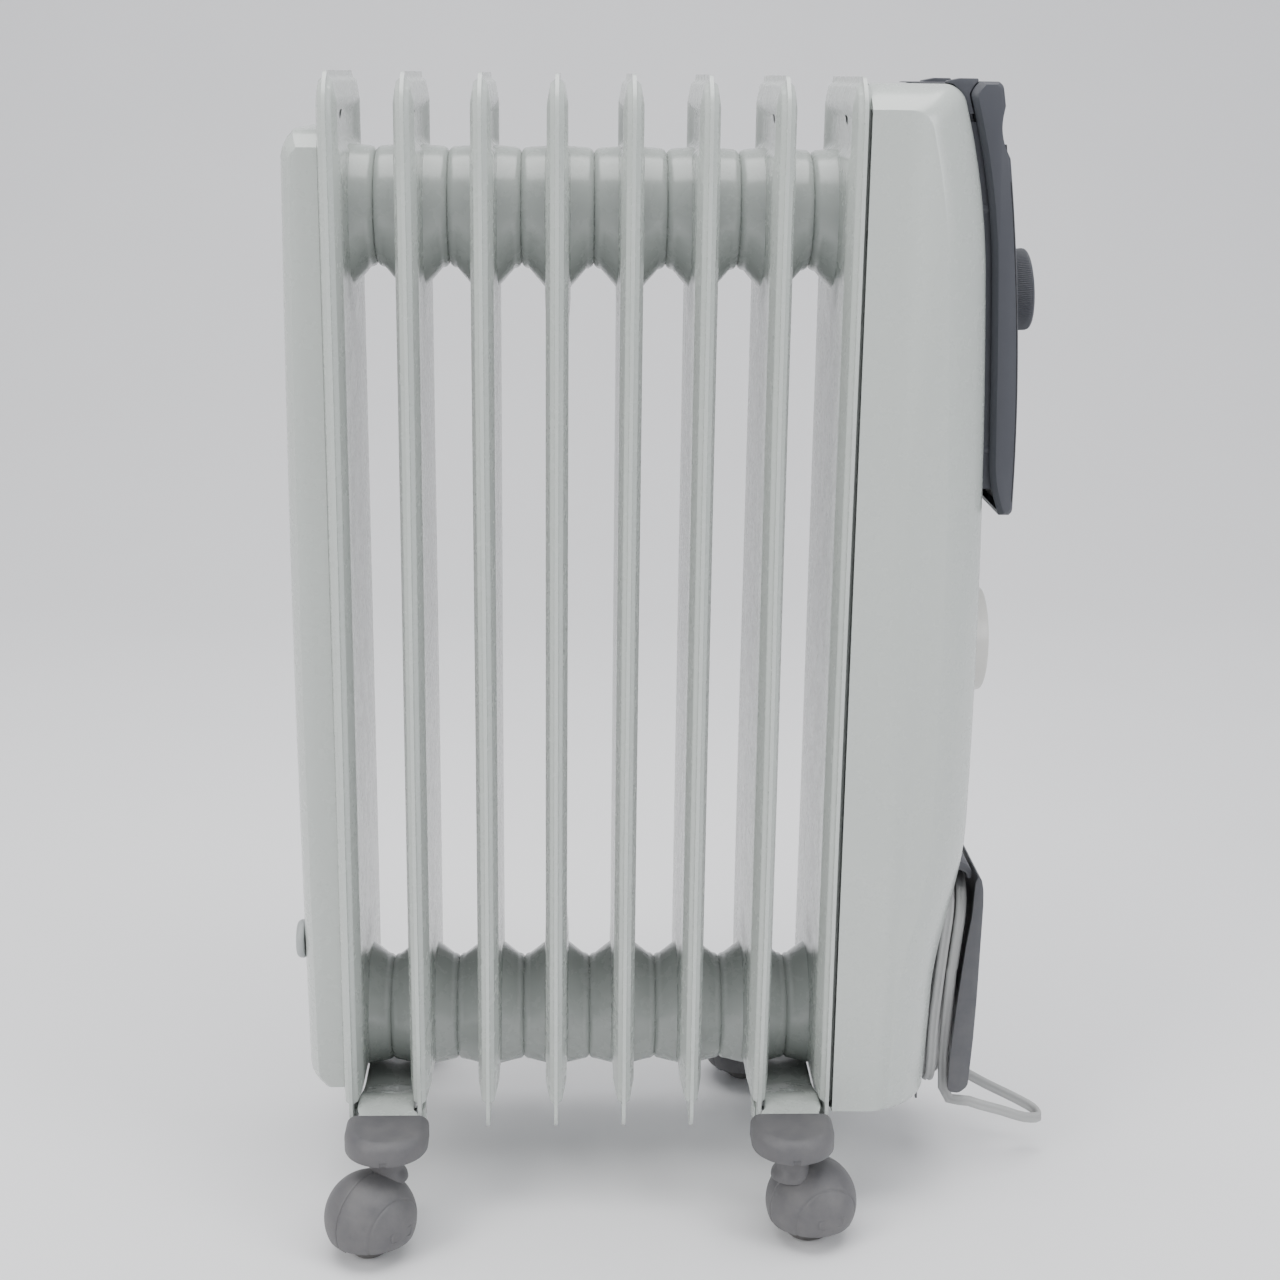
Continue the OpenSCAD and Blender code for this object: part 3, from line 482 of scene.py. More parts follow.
def make_plug():
    at = (217 + STACK_X, 54, 84)
    body = [(0, 0), (16.6, 0), (17.4, 1.2), (17.4, 4.5), (16.7, 8), (14.2, 12), (12.4, 16), (11.2, 22),
            (10.4, 27), (8.6, 31)]
    for k in range(7):
        body += [(7.6 - 0.35 * k, 32 + 2 * k), (6.4 - 0.35 * k, 33.1 + 2 * k)]
    body += [(4.2, 45), (0, 45)]

    def squeeze(r, a, z):
        grip = np.exp(-((z - 20) / 8) ** 2) * 0.16
        return r * (1 - grip * np.cos(a) ** 2)
    shell = lathe("plug_body", body, vinyl, at=at, n=64, mod=squeeze)
    pins = []
    for y in (-9.5, 9.5):
        pin = [(0, 1), (2.0, 1), (2.0, -9), (2.3, -9.3), (2.3, -17.6), (1.7, -18.5), (0, -18.5)]
        pins.append(lathe("plug_pin", fillet(pin, 0.3), steel, at=(at[0], at[1] + y, at[2]), n=24))
    plug = join("mains_plug_body", [shell])
    metal = join("plug_pins", pins)
    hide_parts("mains_plug")
    metal.parent = plug
    return plug


make_cord()


# ---- fins ----
UP_Z, LOW_Z = 569.25, 96.5
PITCH, HALF_D, FIN_LOW, TOP = 39.0, 75.0, 52.0, 640.0


def outline_distance(y, z):
    """How far inside the fin's outline a point is."""
    side = HALF_D - abs(y)
    head = TOP - z
    corner = (HALF_D - 15 - abs(y)) * 0.707 + head * 0.707 + 6.0
    r = np.minimum(side, head)
    return np.where((side < 15) & (head < 22), np.minimum(r, corner * 0.86 + 0.5), r)


def fin_half_thickness(y, z):
    d = outline_distance(y, z)
    foot = (z - 66.5) * 2.0
    d = np.where(foot < 30, -np.log(np.exp(-d / 1.6) + np.exp(-np.maximum(foot, -9) / 1.6)) * 1.6, d)
    h = 1.0 + 2.6 * smooth((d - 2.6) / 2.9) + 2.4 * np.clip((d - 5.6) / 12.5, 0, 1)
    # bead round the head, and the recess above the hub
    inner = np.minimum((61 - abs(y)) / 16, np.minimum((z - 598) / 8, (627 - z) / 9))
    low = 1.35 + 0.5 * np.clip((abs(y) - 30) / 30, 0, 1)
    h = h + (low - h) * smooth(inner)
    # the face swells towards both hubs
    for cz, r0, lift, way in ((UP_Z, 31, 1.0, -1), (LOW_Z, 31, 1.0, 1)):
        dz = (z - cz) * way
        reach = np.hypot(y * 0.92, np.maximum(dz, 0) * 0.62 + np.minimum(dz, 0))
        swell = lift * smooth((r0 + 10 - reach) / 12)
        h = h + swell * smooth((d - 8) / 10) * (1 - smooth(inner))
    return h


def spaced(breaks, steps):
    out = []
    for (a, b), n in zip(zip(breaks, breaks[1:]), steps):
        out += list(np.linspace(a, b, n, endpoint=False))
    return np.array(out + [breaks[-1]])


def neck(z, upper, reach, way):
    """The pressed neck from the fin's face to the hub joint, with the V groove of the weld."""
    r_groove, r_fin, r_crest = (28.8, 33.0, 32.3) if upper else (29.05, 34.3, 31.6)
    turn = reach - 4.0 if upper else reach - 3.4
    n, rows = 96, 18
    a = np.linspace(0, 2 * math.pi, n, endpoint=False)
    side = -np.sin(a) if upper else np.sin(a)
    sweep_down = smooth(side * 0.95 + 0.02) ** 1.2
    pts = []
    for x in np.concatenate([np.linspace(5.0, turn, rows - 6), turn + (reach - turn) * np.sin(
            np.linspace(0, math.pi / 2, 8))[1:]]):
        t = min(1.0, (x - 5.0) / (turn - 5.0))
        r = r_fin * (1 - t) + r_crest * t + (11.5 if upper else 6.0) * sweep_down * (1 - t)
        edge = max(0.0, (x - turn) / (reach - turn))
        r = r_groove + (r - r_groove) * math.sqrt(max(0.0, 1 - edge ** 2))
        pts.append(np.stack([np.full(n, x * way), r * np.cos(a), z + r * np.sin(a)], -1))
    cap = pts[-1].copy()
    cap[:, 1] *= 0.2
    cap[:, 2] = z + (cap[:, 2] - z) * 0.2
    pts.append(cap)
    return np.array(pts)


def weld_bead(z, r, x):
    """Uneven bead at the bottom of the groove."""
    n, m = 96, 6
    a = np.linspace(0, 2 * math.pi, n, endpoint=False)
    rng = np.random.default_rng(int(abs(x) * 10 + z))
    w = np.convolve(np.tile(rng.normal(0, 0.12, n), 3), np.ones(3) / 3, "same")[n:2 * n]
    ring = []
    for k in range(m):
        b = 2 * math.pi * k / m
        rr = r + (0.45 + w) * math.cos(b)
        ring.append(np.stack([x + 0.5 * math.sin(b) + 0 * a, rr * np.cos(a), z + rr * np.sin(a)], -1))
    return np.array(ring)


def fin_mesh(left_neck, right_neck, hole=True):
    ys = spaced([-75, -72, -69, -57, -30, 30, 57, 69, 72, 75], [4, 6, 8, 10, 16, 10, 8, 6, 4])
    zs = spaced([52, 54, 64, 78, 150, 190, 500, 540, 594, 612, 628, 640],
                [6, 10, 18, 26, 10, 12, 12, 16, 16, 14, 14])
    gy, gz = np.meshgrid(ys, zs, indexing="ij")
    # pull the grid in to the rounded outline
    top = np.clip((gz - 612) / 28, 0, 1)
    corner = 15 * top ** 3.2 * np.clip((abs(gy) - 20) / 55, 0, 1)
    yy = gy * (1 - corner / 75)
    foot = np.clip((64 - gz) / 12, 0, 1)
    yy = yy * (1 - 12 * (1 - np.sqrt(1 - foot ** 2)) / 75)
    h = fin_half_thickness(gy, gz)
    verts, faces = [], []
    base = 0
    for way in (-1, 1):
        v = np.stack([h * way, yy, gz], -1).reshape(-1, 3)
        f = np.array(grid_faces(len(ys), len(zs)))
        c = np.stack([gy, gz], -1).reshape(-1, 2)[f].mean(1)
        keep = np.ones(len(f), bool)
        if hole:
            keep = (np.hypot(c[:, 0] + 8, c[:, 1] - 618) > 2.8)
        for cz, r in ((UP_Z, 27), (LOW_Z, 29)):
            if (left_neck if way < 0 else right_neck):
                keep &= np.hypot(c[:, 0], c[:, 1] - cz) > r
        verts.append(v)
        faces += (f[keep] + base).tolist()
        base += len(v)
    # rim that joins the two sheets
    n1, n2 = len(ys), len(zs)
    rim = [i * n2 for i in range(n1)] + [(n1 - 1) * n2 + j for j in range(1, n2)] \
        + [i * n2 + n2 - 1 for i in range(n1 - 2, -1, -1)] + [j for j in range(n2 - 2, 0, -1)]
    off = n1 * n2
    for a, b in zip(rim, rim[1:] + rim[:1]):
        faces.append([a, b, b + off, a + off])
    for way, on in ((-1, left_neck), (1, right_neck)):
        if not on:
            continue
        for cz, upper in ((UP_Z, True), (LOW_Z, False)):
            p = neck(cz, upper, PITCH / 2, way)
            verts.append(p.reshape(-1, 3))
            faces += grid_faces(len(p), p.shape[1], close_cols=True, start=base)
            base += p.shape[0] * p.shape[1]
            if way > 0:
                b = weld_bead(cz, 28.7 if upper else 29.0, PITCH / 2)
                verts.append(b.reshape(-1, 3))
                faces += grid_faces(len(b), b.shape[1], close_rows=True, close_cols=True, start=base)
                base += b.shape[0] * b.shape[1]
    return np.vstack(verts), faces


def make_fins():
    for i in range(8):
        v, f = fin_mesh(i > 0, i < 7)
        rng = np.random.default_rng(20 + i)
        # real pressed fins wander by a fraction of a millimetre along their length
        lean = rng.normal(0, 0.22, 3)
        t = (v[:, 2] - 52) / 588
        edge = np.clip((abs(v[:, 1]) - 45) / 30, 0, 1)
        wave = lean[0] * np.sin(math.pi * t) + lean[1] * np.sin(2 * math.pi * t)
        v[:, 0] += edge * wave * np.sign(v[:, 1])
        v[:, 0] += (i - 3.5) * PITCH + STACK_X
        fin = link(f"fin_skin_{i + 1}", v, f, paint, angle=58)
        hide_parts(f"fin_{i + 1}")


make_fins()


# ---- rear cover and control housing ----
def rear_sections():
    ys = [-62, -61.6, -60.6, -59, -56.5, -53.5, -50, -40, -20, 0, 20, 40, 50, 53.5, 56.5, 59, 60.6, 61.6, 62]
    out = []
    for y in ys:
        s = np.clip((abs(y) - 48) / 14, 0, 1)
        low, high = 73 + 2 * s * s, 611 - 9 * s ** 1.3
        k = np.arange(61) / 60
        z = low + (high - low) * (0.5 - 0.5 * np.cos(np.pi * k))
        depth = 14.5 + 4.1 * smooth((z - 73) / 12) * smooth((611 - z) / 14) \
            + 2.2 * np.sin(np.pi * np.clip((z - 73) / 538, 0, 1))
        edge = 2.5 - 2.5 * smooth((z - low + 0.5) / 5) * smooth((high - z + 0.5) / 5)
        x = -143 - depth + 6 * s ** 1.9 + edge
        outer = at_y(x, y, z)
        lip_low = [[-143 + 1.3 * s, y, low]]
        lip_high = [[-143 + 1.3 * s, y, high]]
        out.append(np.vstack([lip_low, outer, lip_high]))
    return np.array(out)


def shell(name, sections, inner, mat, **kw):
    """A thin pressed cover, open at its back edge: outer skin, inner skin and the edge between them."""
    s, t = np.asarray(sections), np.asarray(inner)
    m, n = s.shape[:2]
    faces = grid_faces(m, n)
    faces += (np.array(grid_faces(m, n)) + m * n).tolist()
    # the side walls close the first and last sections
    for sec in (0, m - 1):
        base = sec * n
        faces.append([base + j for j in range(n)])
        faces.append([m * n + base + j for j in range(n)])
    for row in (0, n - 1):
        for i in range(m - 1):
            a, b = i * n + row, (i + 1) * n + row
            faces.append([a, b, b + m * n, a + m * n])
    for sec in (0, m - 1):
        a, b = sec * n, sec * n + n - 1
        faces.append([a, b, b + m * n, a + m * n])
    return link(name, np.vstack([s.reshape(-1, 3), t.reshape(-1, 3)]), faces, mat, **kw)


def shrink(sections, wall, edge_x):
    """Offsets a cover's sections inwards by its wall."""
    s = np.array(sections, float)
    out = s.copy()
    half = abs(s[..., 1]).max()
    out[..., 1] *= (half - wall) / half
    zmid = (s[..., 2].max() + s[..., 2].min()) / 2
    zh = (s[..., 2].max() - s[..., 2].min()) / 2
    out[..., 2] = zmid + (s[..., 2] - zmid) * (zh - wall) / zh
    sign = -1 if s[..., 0].mean() > edge_x else 1
    deep = abs(s[..., 0] - edge_x) > 0.5
    out[..., 0] += np.where(deep, sign * wall, 0)
    return out


def make_rear():
    s = in_model(rear_sections())
    cover = shell("rear_cover_skin", s, shrink(s, 1.6, -143 + STACK_X), paint)
    crease(cover, 32)
    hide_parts("rear_cover")
    feet = []
    pad = fillet([(0, 0), (9.4, 0), (11, 1.8), (11, 4.9), (0, 4.9)], 1.4, 5)
    for y in (-42, 42):
        feet.append(lathe("bumper", pad, bumper, at=(-168 + STACK_X, y, 159), axis=(1, 0, 0), n=48))
    pads = join("wall_bumper_pads", feet)
    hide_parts("wall_bumpers")


def house_face(z):
    z = np.asarray(z, float)
    bow = 0.00011 * (z - 290) ** 2 + 0.0012 * np.maximum(0, z - 540) ** 2
    return 213 - bow - 12.5 * smooth((232 - z) / 102)


def house_sections(back=139.5):
    ys = [-75, -74.6, -73.4, -71.5, -68.5, -65, -61, -57, -53.5, -50, -46, -30, -15, 0]
    ys = ys + [-y for y in ys[-2::-1]]
    out = []
    for y in ys:
        s = np.clip((abs(y) - 50) / 25, 0, 1)
        low, high = 61 + 4 * s * s, 637 - 13 * s ** 1.7
        k = np.arange(91) / 90
        z = low + (high - low) * (0.5 - 0.5 * np.cos(np.pi * k))
        r = 9.0
        up, down = np.maximum(0, z - high + r), np.maximum(0, low + r - z)
        bev = 24 * (0.80 * s ** 1.25 + 0.20 * s ** 6)
        x = house_face(z) - bev - (r - np.sqrt(np.maximum(0, r * r - up * up))) \
            - (r - np.sqrt(np.maximum(0, r * r - down * down)))
        p = at_y(x, y, z)
        front_low, front_high = p[0], p[-1]
        rows_low = [[back + (front_low[0] - back) * t, y, low] for t in (0, 0.02, 0.5, 0.9)]
        rows_high = [[back + (front_high[0] - back) * t, y, high] for t in (0.9, 0.5, 0.02, 0)]
        out.append(np.vstack([rows_low, p, rows_high]))
    return np.array(out)


def box_tool(lo, hi):
    lo, hi = np.array(lo, float), np.array(hi, float)
    bm = bmesh.new()
    bmesh.ops.create_cube(bm, size=1.0)
    mesh = D.meshes.new("tool")
    for v in bm.verts:
        for k in range(3):
            v.co[k] = ((lo[k] + hi[k]) / 2 + v.co[k] * (hi[k] - lo[k]) + (STACK_X if k == 0 else 0)) / 1000
    bm.to_mesh(mesh)
    bm.free()
    o = D.objects.new("tool", mesh)
    bpy.context.collection.objects.link(o)
    return o


def round_tool(at, axis, r, h, n=64):
    m = axis_matrix(((at[0] + STACK_X) / 1000, at[1] / 1000, at[2] / 1000), axis)
    bm = bmesh.new()
    bmesh.ops.create_cone(bm, cap_ends=True, segments=n, radius1=r / 1000, radius2=r / 1000, depth=h / 1000,
                          matrix=m @ Matrix.Translation((0, 0, h / 2000)))
    mesh = D.meshes.new("tool")
    bm.to_mesh(mesh)
    bm.free()
    o = D.objects.new("tool", mesh)
    bpy.context.collection.objects.link(o)
    return o


def make_housing():
    s = in_model(house_sections())
    house = shell("control_housing_skin", s, shrink(s, 1.8, 139.5 + STACK_X), paint)
    cut(house, box_tool((172, -34, 588), (230, 34, 660)))
    cut(house, box_tool((190, -24, 490), (230, 24, 564)))
    cut(house, round_tool((200, 0, 328), (1, 0, 0), 28, 30))
    crease(house, 42)
    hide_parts("control_housing")


make_rear()
make_housing()


# ---- control panel ----
def panel_face(z):
    return 228.8 - 0.00041 * np.maximum(0, np.asarray(z, float) - 427) ** 2


def panel_back(z):
    return house_face(np.minimum(z, 632)) + 4.2 + 6 * (np.maximum(0, 440 - z) / 30) ** 2


def panel_sections(wall=0.0, reach=0.0):
    ys = [-48, -47.9, -47.6, -47, -46.2, -45, -42, -30, -15, 0]
    ys = ys + [-y for y in ys[-2::-1]]
    out = []
    for y in ys:
        yy = y * (45 / 48 if wall else 1)
        s = np.clip((abs(y) - 45) / 3, 0, 1) if not wall else 0.0
        low = 410 + wall + 2 * s * s
        high = 640 - (56 if wall else 1.6) - 1.5 * s
        k = np.arange(81) / 80
        z = low + (high - low) * (0.5 - 0.5 * np.cos(np.pi * k))
        crown = 1.2 * (1 - (yy / 48) ** 2)
        up, down = np.maximum(0, z - high + 3), np.maximum(0, low + 3 - z)
        front = panel_face(z) + crown - wall - 1.5 * s ** 3 - 0.25 * up ** 2 - 0.2 * down ** 2
        up2 = np.maximum(0, z - high + 8)
        back = panel_back(z) + 3 * np.clip((abs(y) - 44.9) / 2.9, 0, 1) + 0.07 * up2 ** 2 - reach
        back = np.minimum(back, front - 0.8)
        out.append(np.vstack([at_y(front, yy, z)[::-1], at_y(back, yy, z)]))
    return np.array(out)


def on_switch(y, p):
    a = math.radians(7.5)
    x0, z0 = float(panel_face(597.5)) + 0.6, 597.5
    c, s = math.cos(a), math.sin(a)
    return [x0 + p[0] * c - p[2] * s, y + p[1], z0 + p[0] * s + p[2] * c]


def tilted_box(y, lo, hi):
    o = box_tool((0, 0, 0), (1, 1, 1))
    for v in o.data.vertices:
        c = [lo[k] if v.co[k] < ((0.5 + (STACK_X if k == 0 else 0)) / 1000) else hi[k] for k in range(3)]
        q = on_switch(y, c)
        v.co = ((q[0] + STACK_X) / 1000, q[1] / 1000, q[2] / 1000)
    return o


KNOB_AXIS = (math.cos(math.radians(4.7)), 0, math.sin(math.radians(4.7)))
KNOB_AT = (float(panel_face(527)) + 1.2, 0, 527)


def make_panel():
    panel = loft("control_panel_shell", in_model(panel_sections()), dark)
    hollow = loft("hollow", in_model(panel_sections(3, 8)), dark, body=None)
    cut(panel, hollow,
        round_tool((241, -60, 617), (0, 1, 0), 30, 120, 128),
        box_tool((180, -35.5, 585), (200, 35.5, 660)),
        round_tool([KNOB_AT[k] - 12 * KNOB_AXIS[k] for k in range(3)], KNOB_AXIS, 5, 20, 32),
        tilted_box(-16, (-12, -11, -8), (12, 11, 8)), tilted_box(16, (-12, -11, -8), (12, 11, 8)),
        round_tool((200, 0, 478), (1, 0, 0), 3.5, 50, 32))
    bevel(panel, 0.0005, 2, 28)
    posts = []
    for y in (-40, 40):
        for z in (446, 574):
            tall = float(panel_face(z)) - 202
            post = fillet([(0, 0), (3.5, 0), (3.5, tall), (0, tall)], 0.5)
            posts.append(lathe("post", post, dark, at=(201 + STACK_X, y, z), axis=(1, 0, 0), n=24))
    posts = join("panel_posts", posts)
    zz = np.linspace(424, 618, 60)
    for side in (-1, 1):
        secs = []
        for y in (side * 41.2, side * 42.8):
            f = house_face(np.minimum(zz, 632)) + 0.35
            b = panel_back(zz) + 1.2
            secs.append(np.vstack([at_y(f, y, zz), at_y(b, y, zz)[::-1]]))
        skirt = loft(f"panel_skirt_{(side + 3) // 2}", in_model(secs), dark, angle=35)
    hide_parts("control_panel")
    # recessed seam along the edge of the face, where the trim meets the bevel
    z = np.linspace(418, 588, 90)
    for side in (-1, 1):
        line = at_y(panel_face(z) - 1.0, side * 47.75, z)
        ring = np.array([[0.25 * math.cos(a), 0.25 * math.sin(a)] for a in np.linspace(0, 6.283, 7)[:-1]])
        level = np.tile([0.0, 1.0, 0.0], (90, 1))
        seam = sweep(f"panel_seam_{(side + 3) // 2}", line, level, ring, black_gloss)


def make_handle():
    # cup
    o, w = 33.7, 2.5
    cup = [box_tool((172.3, -o, 588.3), (195.8, o, 637.3))]
    obj = cup[0]
    obj.name = "carry_handle_cup"
    obj.data.materials.append(dark)
    cut(obj, box_tool((172.3 + w, -o + w, 588.3 + w), (205, o - w, 645)))
    bevel(obj, 0.0006, 3)
    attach(obj, "radiator")
    # thin rim over the opening, and cheeks that close the gap to the panel
    sections = []
    for x in np.concatenate([[169.2, 169.4, 169.9], np.linspace(171, 193, 6), [194.9, 195.5, 195.8]]):
        e = max(0.0, 1 - min(x - 169.2, 195.8 - x) / 1.2)
        rows = []
        for y in np.linspace(-37.5, 37.5, 41):
            s = max(0.0, (abs(y) - 34) / 3.5)
            rows.append([x, y, 637.35 + 0.55 * math.sqrt(max(0.02, 1 - e ** 2.4)) * (1 - 0.8 * s ** 3)])
        low = [[x, y, 637.3] for y in np.linspace(37.5, -37.5, 41)]
        sections.append(rows + low)
    rim = loft("carry_handle_rim", in_model(sections), dark)
    cut(rim, box_tool((172.3 + w, -o + w, 630), (205, o - w, 645)))
    cheek = [(193.7, 622), (192.2, 628), (189, 633.4), (184.9, 636.8), (182, 637.4), (182, 638.5),
             (189, 639.9), (197.5, 639.9), (198.2, 638.9), (195.8, 636), (193.8, 632), (194.8, 628),
             (196.6, 622)]
    for side in (-1, 1):
        y0, y1 = sorted((side * 35.2, side * 44.2))
        c = prism(f"handle_cheek_{(side + 3) // 2}", cheek, y0, y1, dark, bevel_r=0.4)
        from_stack(c)
    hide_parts("carry_handle")


def make_knob():
    r, h = 22.5, 12.35
    prof = fillet([(0, 0), (r - 1.5, 0), (r - 0.5, 0.8), (r, h - 2.8), (r - 0.5, h - 1.2),
                   (r - 1.8, h - 0.25), (r - 4.6, h), (r - 5.4, h - 0.5), (0, h - 0.6)], 0.8, 3)
    dense = [prof[0]]
    for a, b in zip(prof, prof[1:]):
        n = max(1, int(math.hypot(b[0] - a[0], b[1] - a[1]) / 0.45)) if a[0] > r - 4 and b[0] > r - 4 else 1
        dense += [[a[0] + (b[0] - a[0]) * k / n, a[1] + (b[1] - a[1]) * k / n] for k in range(1, n + 1)]

    def ribs(rad, a, z):
        on = smooth((z - 0.8) / 0.8) * smooth((h - 1.4 - z) / 0.8) * (rad > r - 2.5)
        fine = 0.42 * np.abs(np.sin(a * 60)) + 0.10 * np.abs(np.sin(z * math.pi / 0.9))
        return rad - on * fine
    at = [KNOB_AT[0] + STACK_X + 1.6 * KNOB_AXIS[0], 0, KNOB_AT[2] + 1.6 * KNOB_AXIS[2]]
    knob = lathe("thermostat_knob_body", dense, dark, at=at, axis=KNOB_AXIS, n=480, mod=ribs, body="knob")
    crease(knob, 50)
    m = np.array(axis_matrix(at, KNOB_AXIS))
    mark = [(r - 8, -0.7), (r - 3.2, -0.7), (r - 3.2, 0.7), (r - 8, 0.7)]
    pts = [[-x, y, h - 0.62] for x, y in mark] + [[-x, y, h - 0.3] for x, y in mark]
    v = np.array(pts) @ m[:3, :3].T + m[:3, 3]
    box_faces = [[0, 1, 2, 3], [4, 5, 6, 7]] + [[k, (k + 1) % 4, (k + 1) % 4 + 4, k + 4] for k in range(4)]
    pointer = link("knob_pointer", v, box_faces, ivory, body="knob", angle=30)
    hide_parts("thermostat_knob")
    # sunk ring round the knob on the panel
    groove = [(23.2, 0.2), (23.6, 1.0), (25.4, 1.0), (26.2, 0.1), (26.2, -1.5), (23.2, -1.5), (23.2, 0.2)]
    ring = lathe("knob_ring", fillet(groove, 0.3), dark, at=(KNOB_AT[0] + STACK_X, 0, KNOB_AT[2]),
                 axis=KNOB_AXIS, n=96)


def make_switches():
    h = 6.35
    outline = [(-2.6, -3), (0.6, -8.4), (3, -8.8), (2.7, -3), (3.1, 2), (5.2, 8.2), (2.8, 8.6), (-2.6, 3)]
    prof = rounded_loop(outline, 0.7, 4)
    ends = ((-h, 0.35), (-h + 0.25, 0.08), (-h + 0.6, 0), (h - 0.6, 0), (h - 0.25, 0.08), (h, 0.35))
    for k, y in ((1, -16), (2, 16)):
        secs = [[on_switch(y, (-2 + px * (1 - 0.02 * e) - e * 0.5, py * (1 - 0.03 * e), z))
                 for px, py in prof] for z, e in ends]
        rocker = loft(f"rocker_{k}_cap", in_model(secs), red, body=f"rocker_{k}", angle=35)
        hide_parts(f"power_switch_{k}")
    paint_node("switch_bodies", black_gloss)
    dome = [(0, 0), (3.2, 0), (3.2, 13.2), (4.5, 13.2), (4.5, 13.8), (3.2, 14.6), (0, 15.0)]
    seat = (float(panel_face(478)) - 12 + STACK_X, 0, 478)
    lens = lathe("pilot_lamp_lens", fillet(dome, 0.4), amber, at=seat, axis=(1, 0, 0), n=40)
    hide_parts("pilot_lamp")


def paint_node(name, mat):
    o = nodes[name]
    for k in range(max(1, len(o.material_slots))):
        if k < len(o.material_slots):
            o.material_slots[k].material = mat
        else:
            o.data.materials.append(mat)


# ---- timer ----
TIMER_Z = 328


def make_timer():
    seat = float(house_face(TIMER_Z)) + 0.5
    front = 225.5
    at = (STACK_X, 0, TIMER_Z)
    along = (1, 0, 0)
    ring = [(27.4, seat + 4), (28, front - 2), (28.8, front - 1.2), (29.6, front - 2), (32, seat + 1.5),
            (32, seat), (29, seat), (29, seat + 1.5), (27.4, seat + 4)]
    bezel = lathe("timer_bezel_ring", fillet(ring, 0.6, 4), ivory, at=at, axis=along, n=128)
    disc = [(0, 216), (23.2, 216), (22.0, front - 1.8), (20.5, front - 0.5), (9.4, front - 1.4),
            (8.6, front - 0.2), (7.6, front), (0, front - 0.3)]
    dial = lathe("timer_dial_disc", fillet(disc, 0.8, 4), ivory, at=at, axis=along, n=128, body="timer")
    rim = [(3, 202), (3, 215.8), (27.0, 215.8), (27.0, 218), (22.5, 218), (22.5, 216.4), (3, 216.4)]
    base = lathe("timer_dial_rim", fillet(rim, 0.3), black_gloss, at=at, axis=along, n=96, body="timer")
    keys = []
    for i in range(48):
        a = 2 * math.pi * (i + 0.5) / 48
        c, s = math.cos(a), math.sin(a)
        lo, hi, half = 22.9, 26.6, 1.15
        secs = []
        for x, e in ((218, 0), (222.6, 0), (223.1, 0.12), (223.3, 0.4)):
            ring = [(lo + e, -half + e), (hi - e, -half + e), (hi - e, half - e), (lo + e, half - e)]
            secs.append([[x + STACK_X, p * s + q * c, TIMER_Z - (p * c - q * s)] for p, q in ring])
        keys.append(loft("key", secs, ivory, body=None, angle=40))
    keys = join("timer_tappet_ring", keys, "timer")
    crease(keys, 40)
    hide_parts("timer_bezel")
    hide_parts("timer_dial")
    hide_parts("timer_tappets")
    # engraved hour marks, without figures
    marks = []
    for i in range(24):
        a = 2 * math.pi * i / 24
        c, s = math.cos(a), math.sin(a)
        p0, p1 = (17.2 if i % 6 else 15.6), 19.6
        q = 0.22
        ring = [(p0, -q), (p1, -q), (p1, q), (p0, q)]
        secs = [[[x + STACK_X, p * s + r * c, TIMER_Z - (p * c - r * s)] for p, r in ring]
                for x in (front - 1.6, front - 0.55)]
        marks.append(loft("mark", secs, black_gloss, body=None))
    marks = join("timer_hour_marks", marks, "timer")


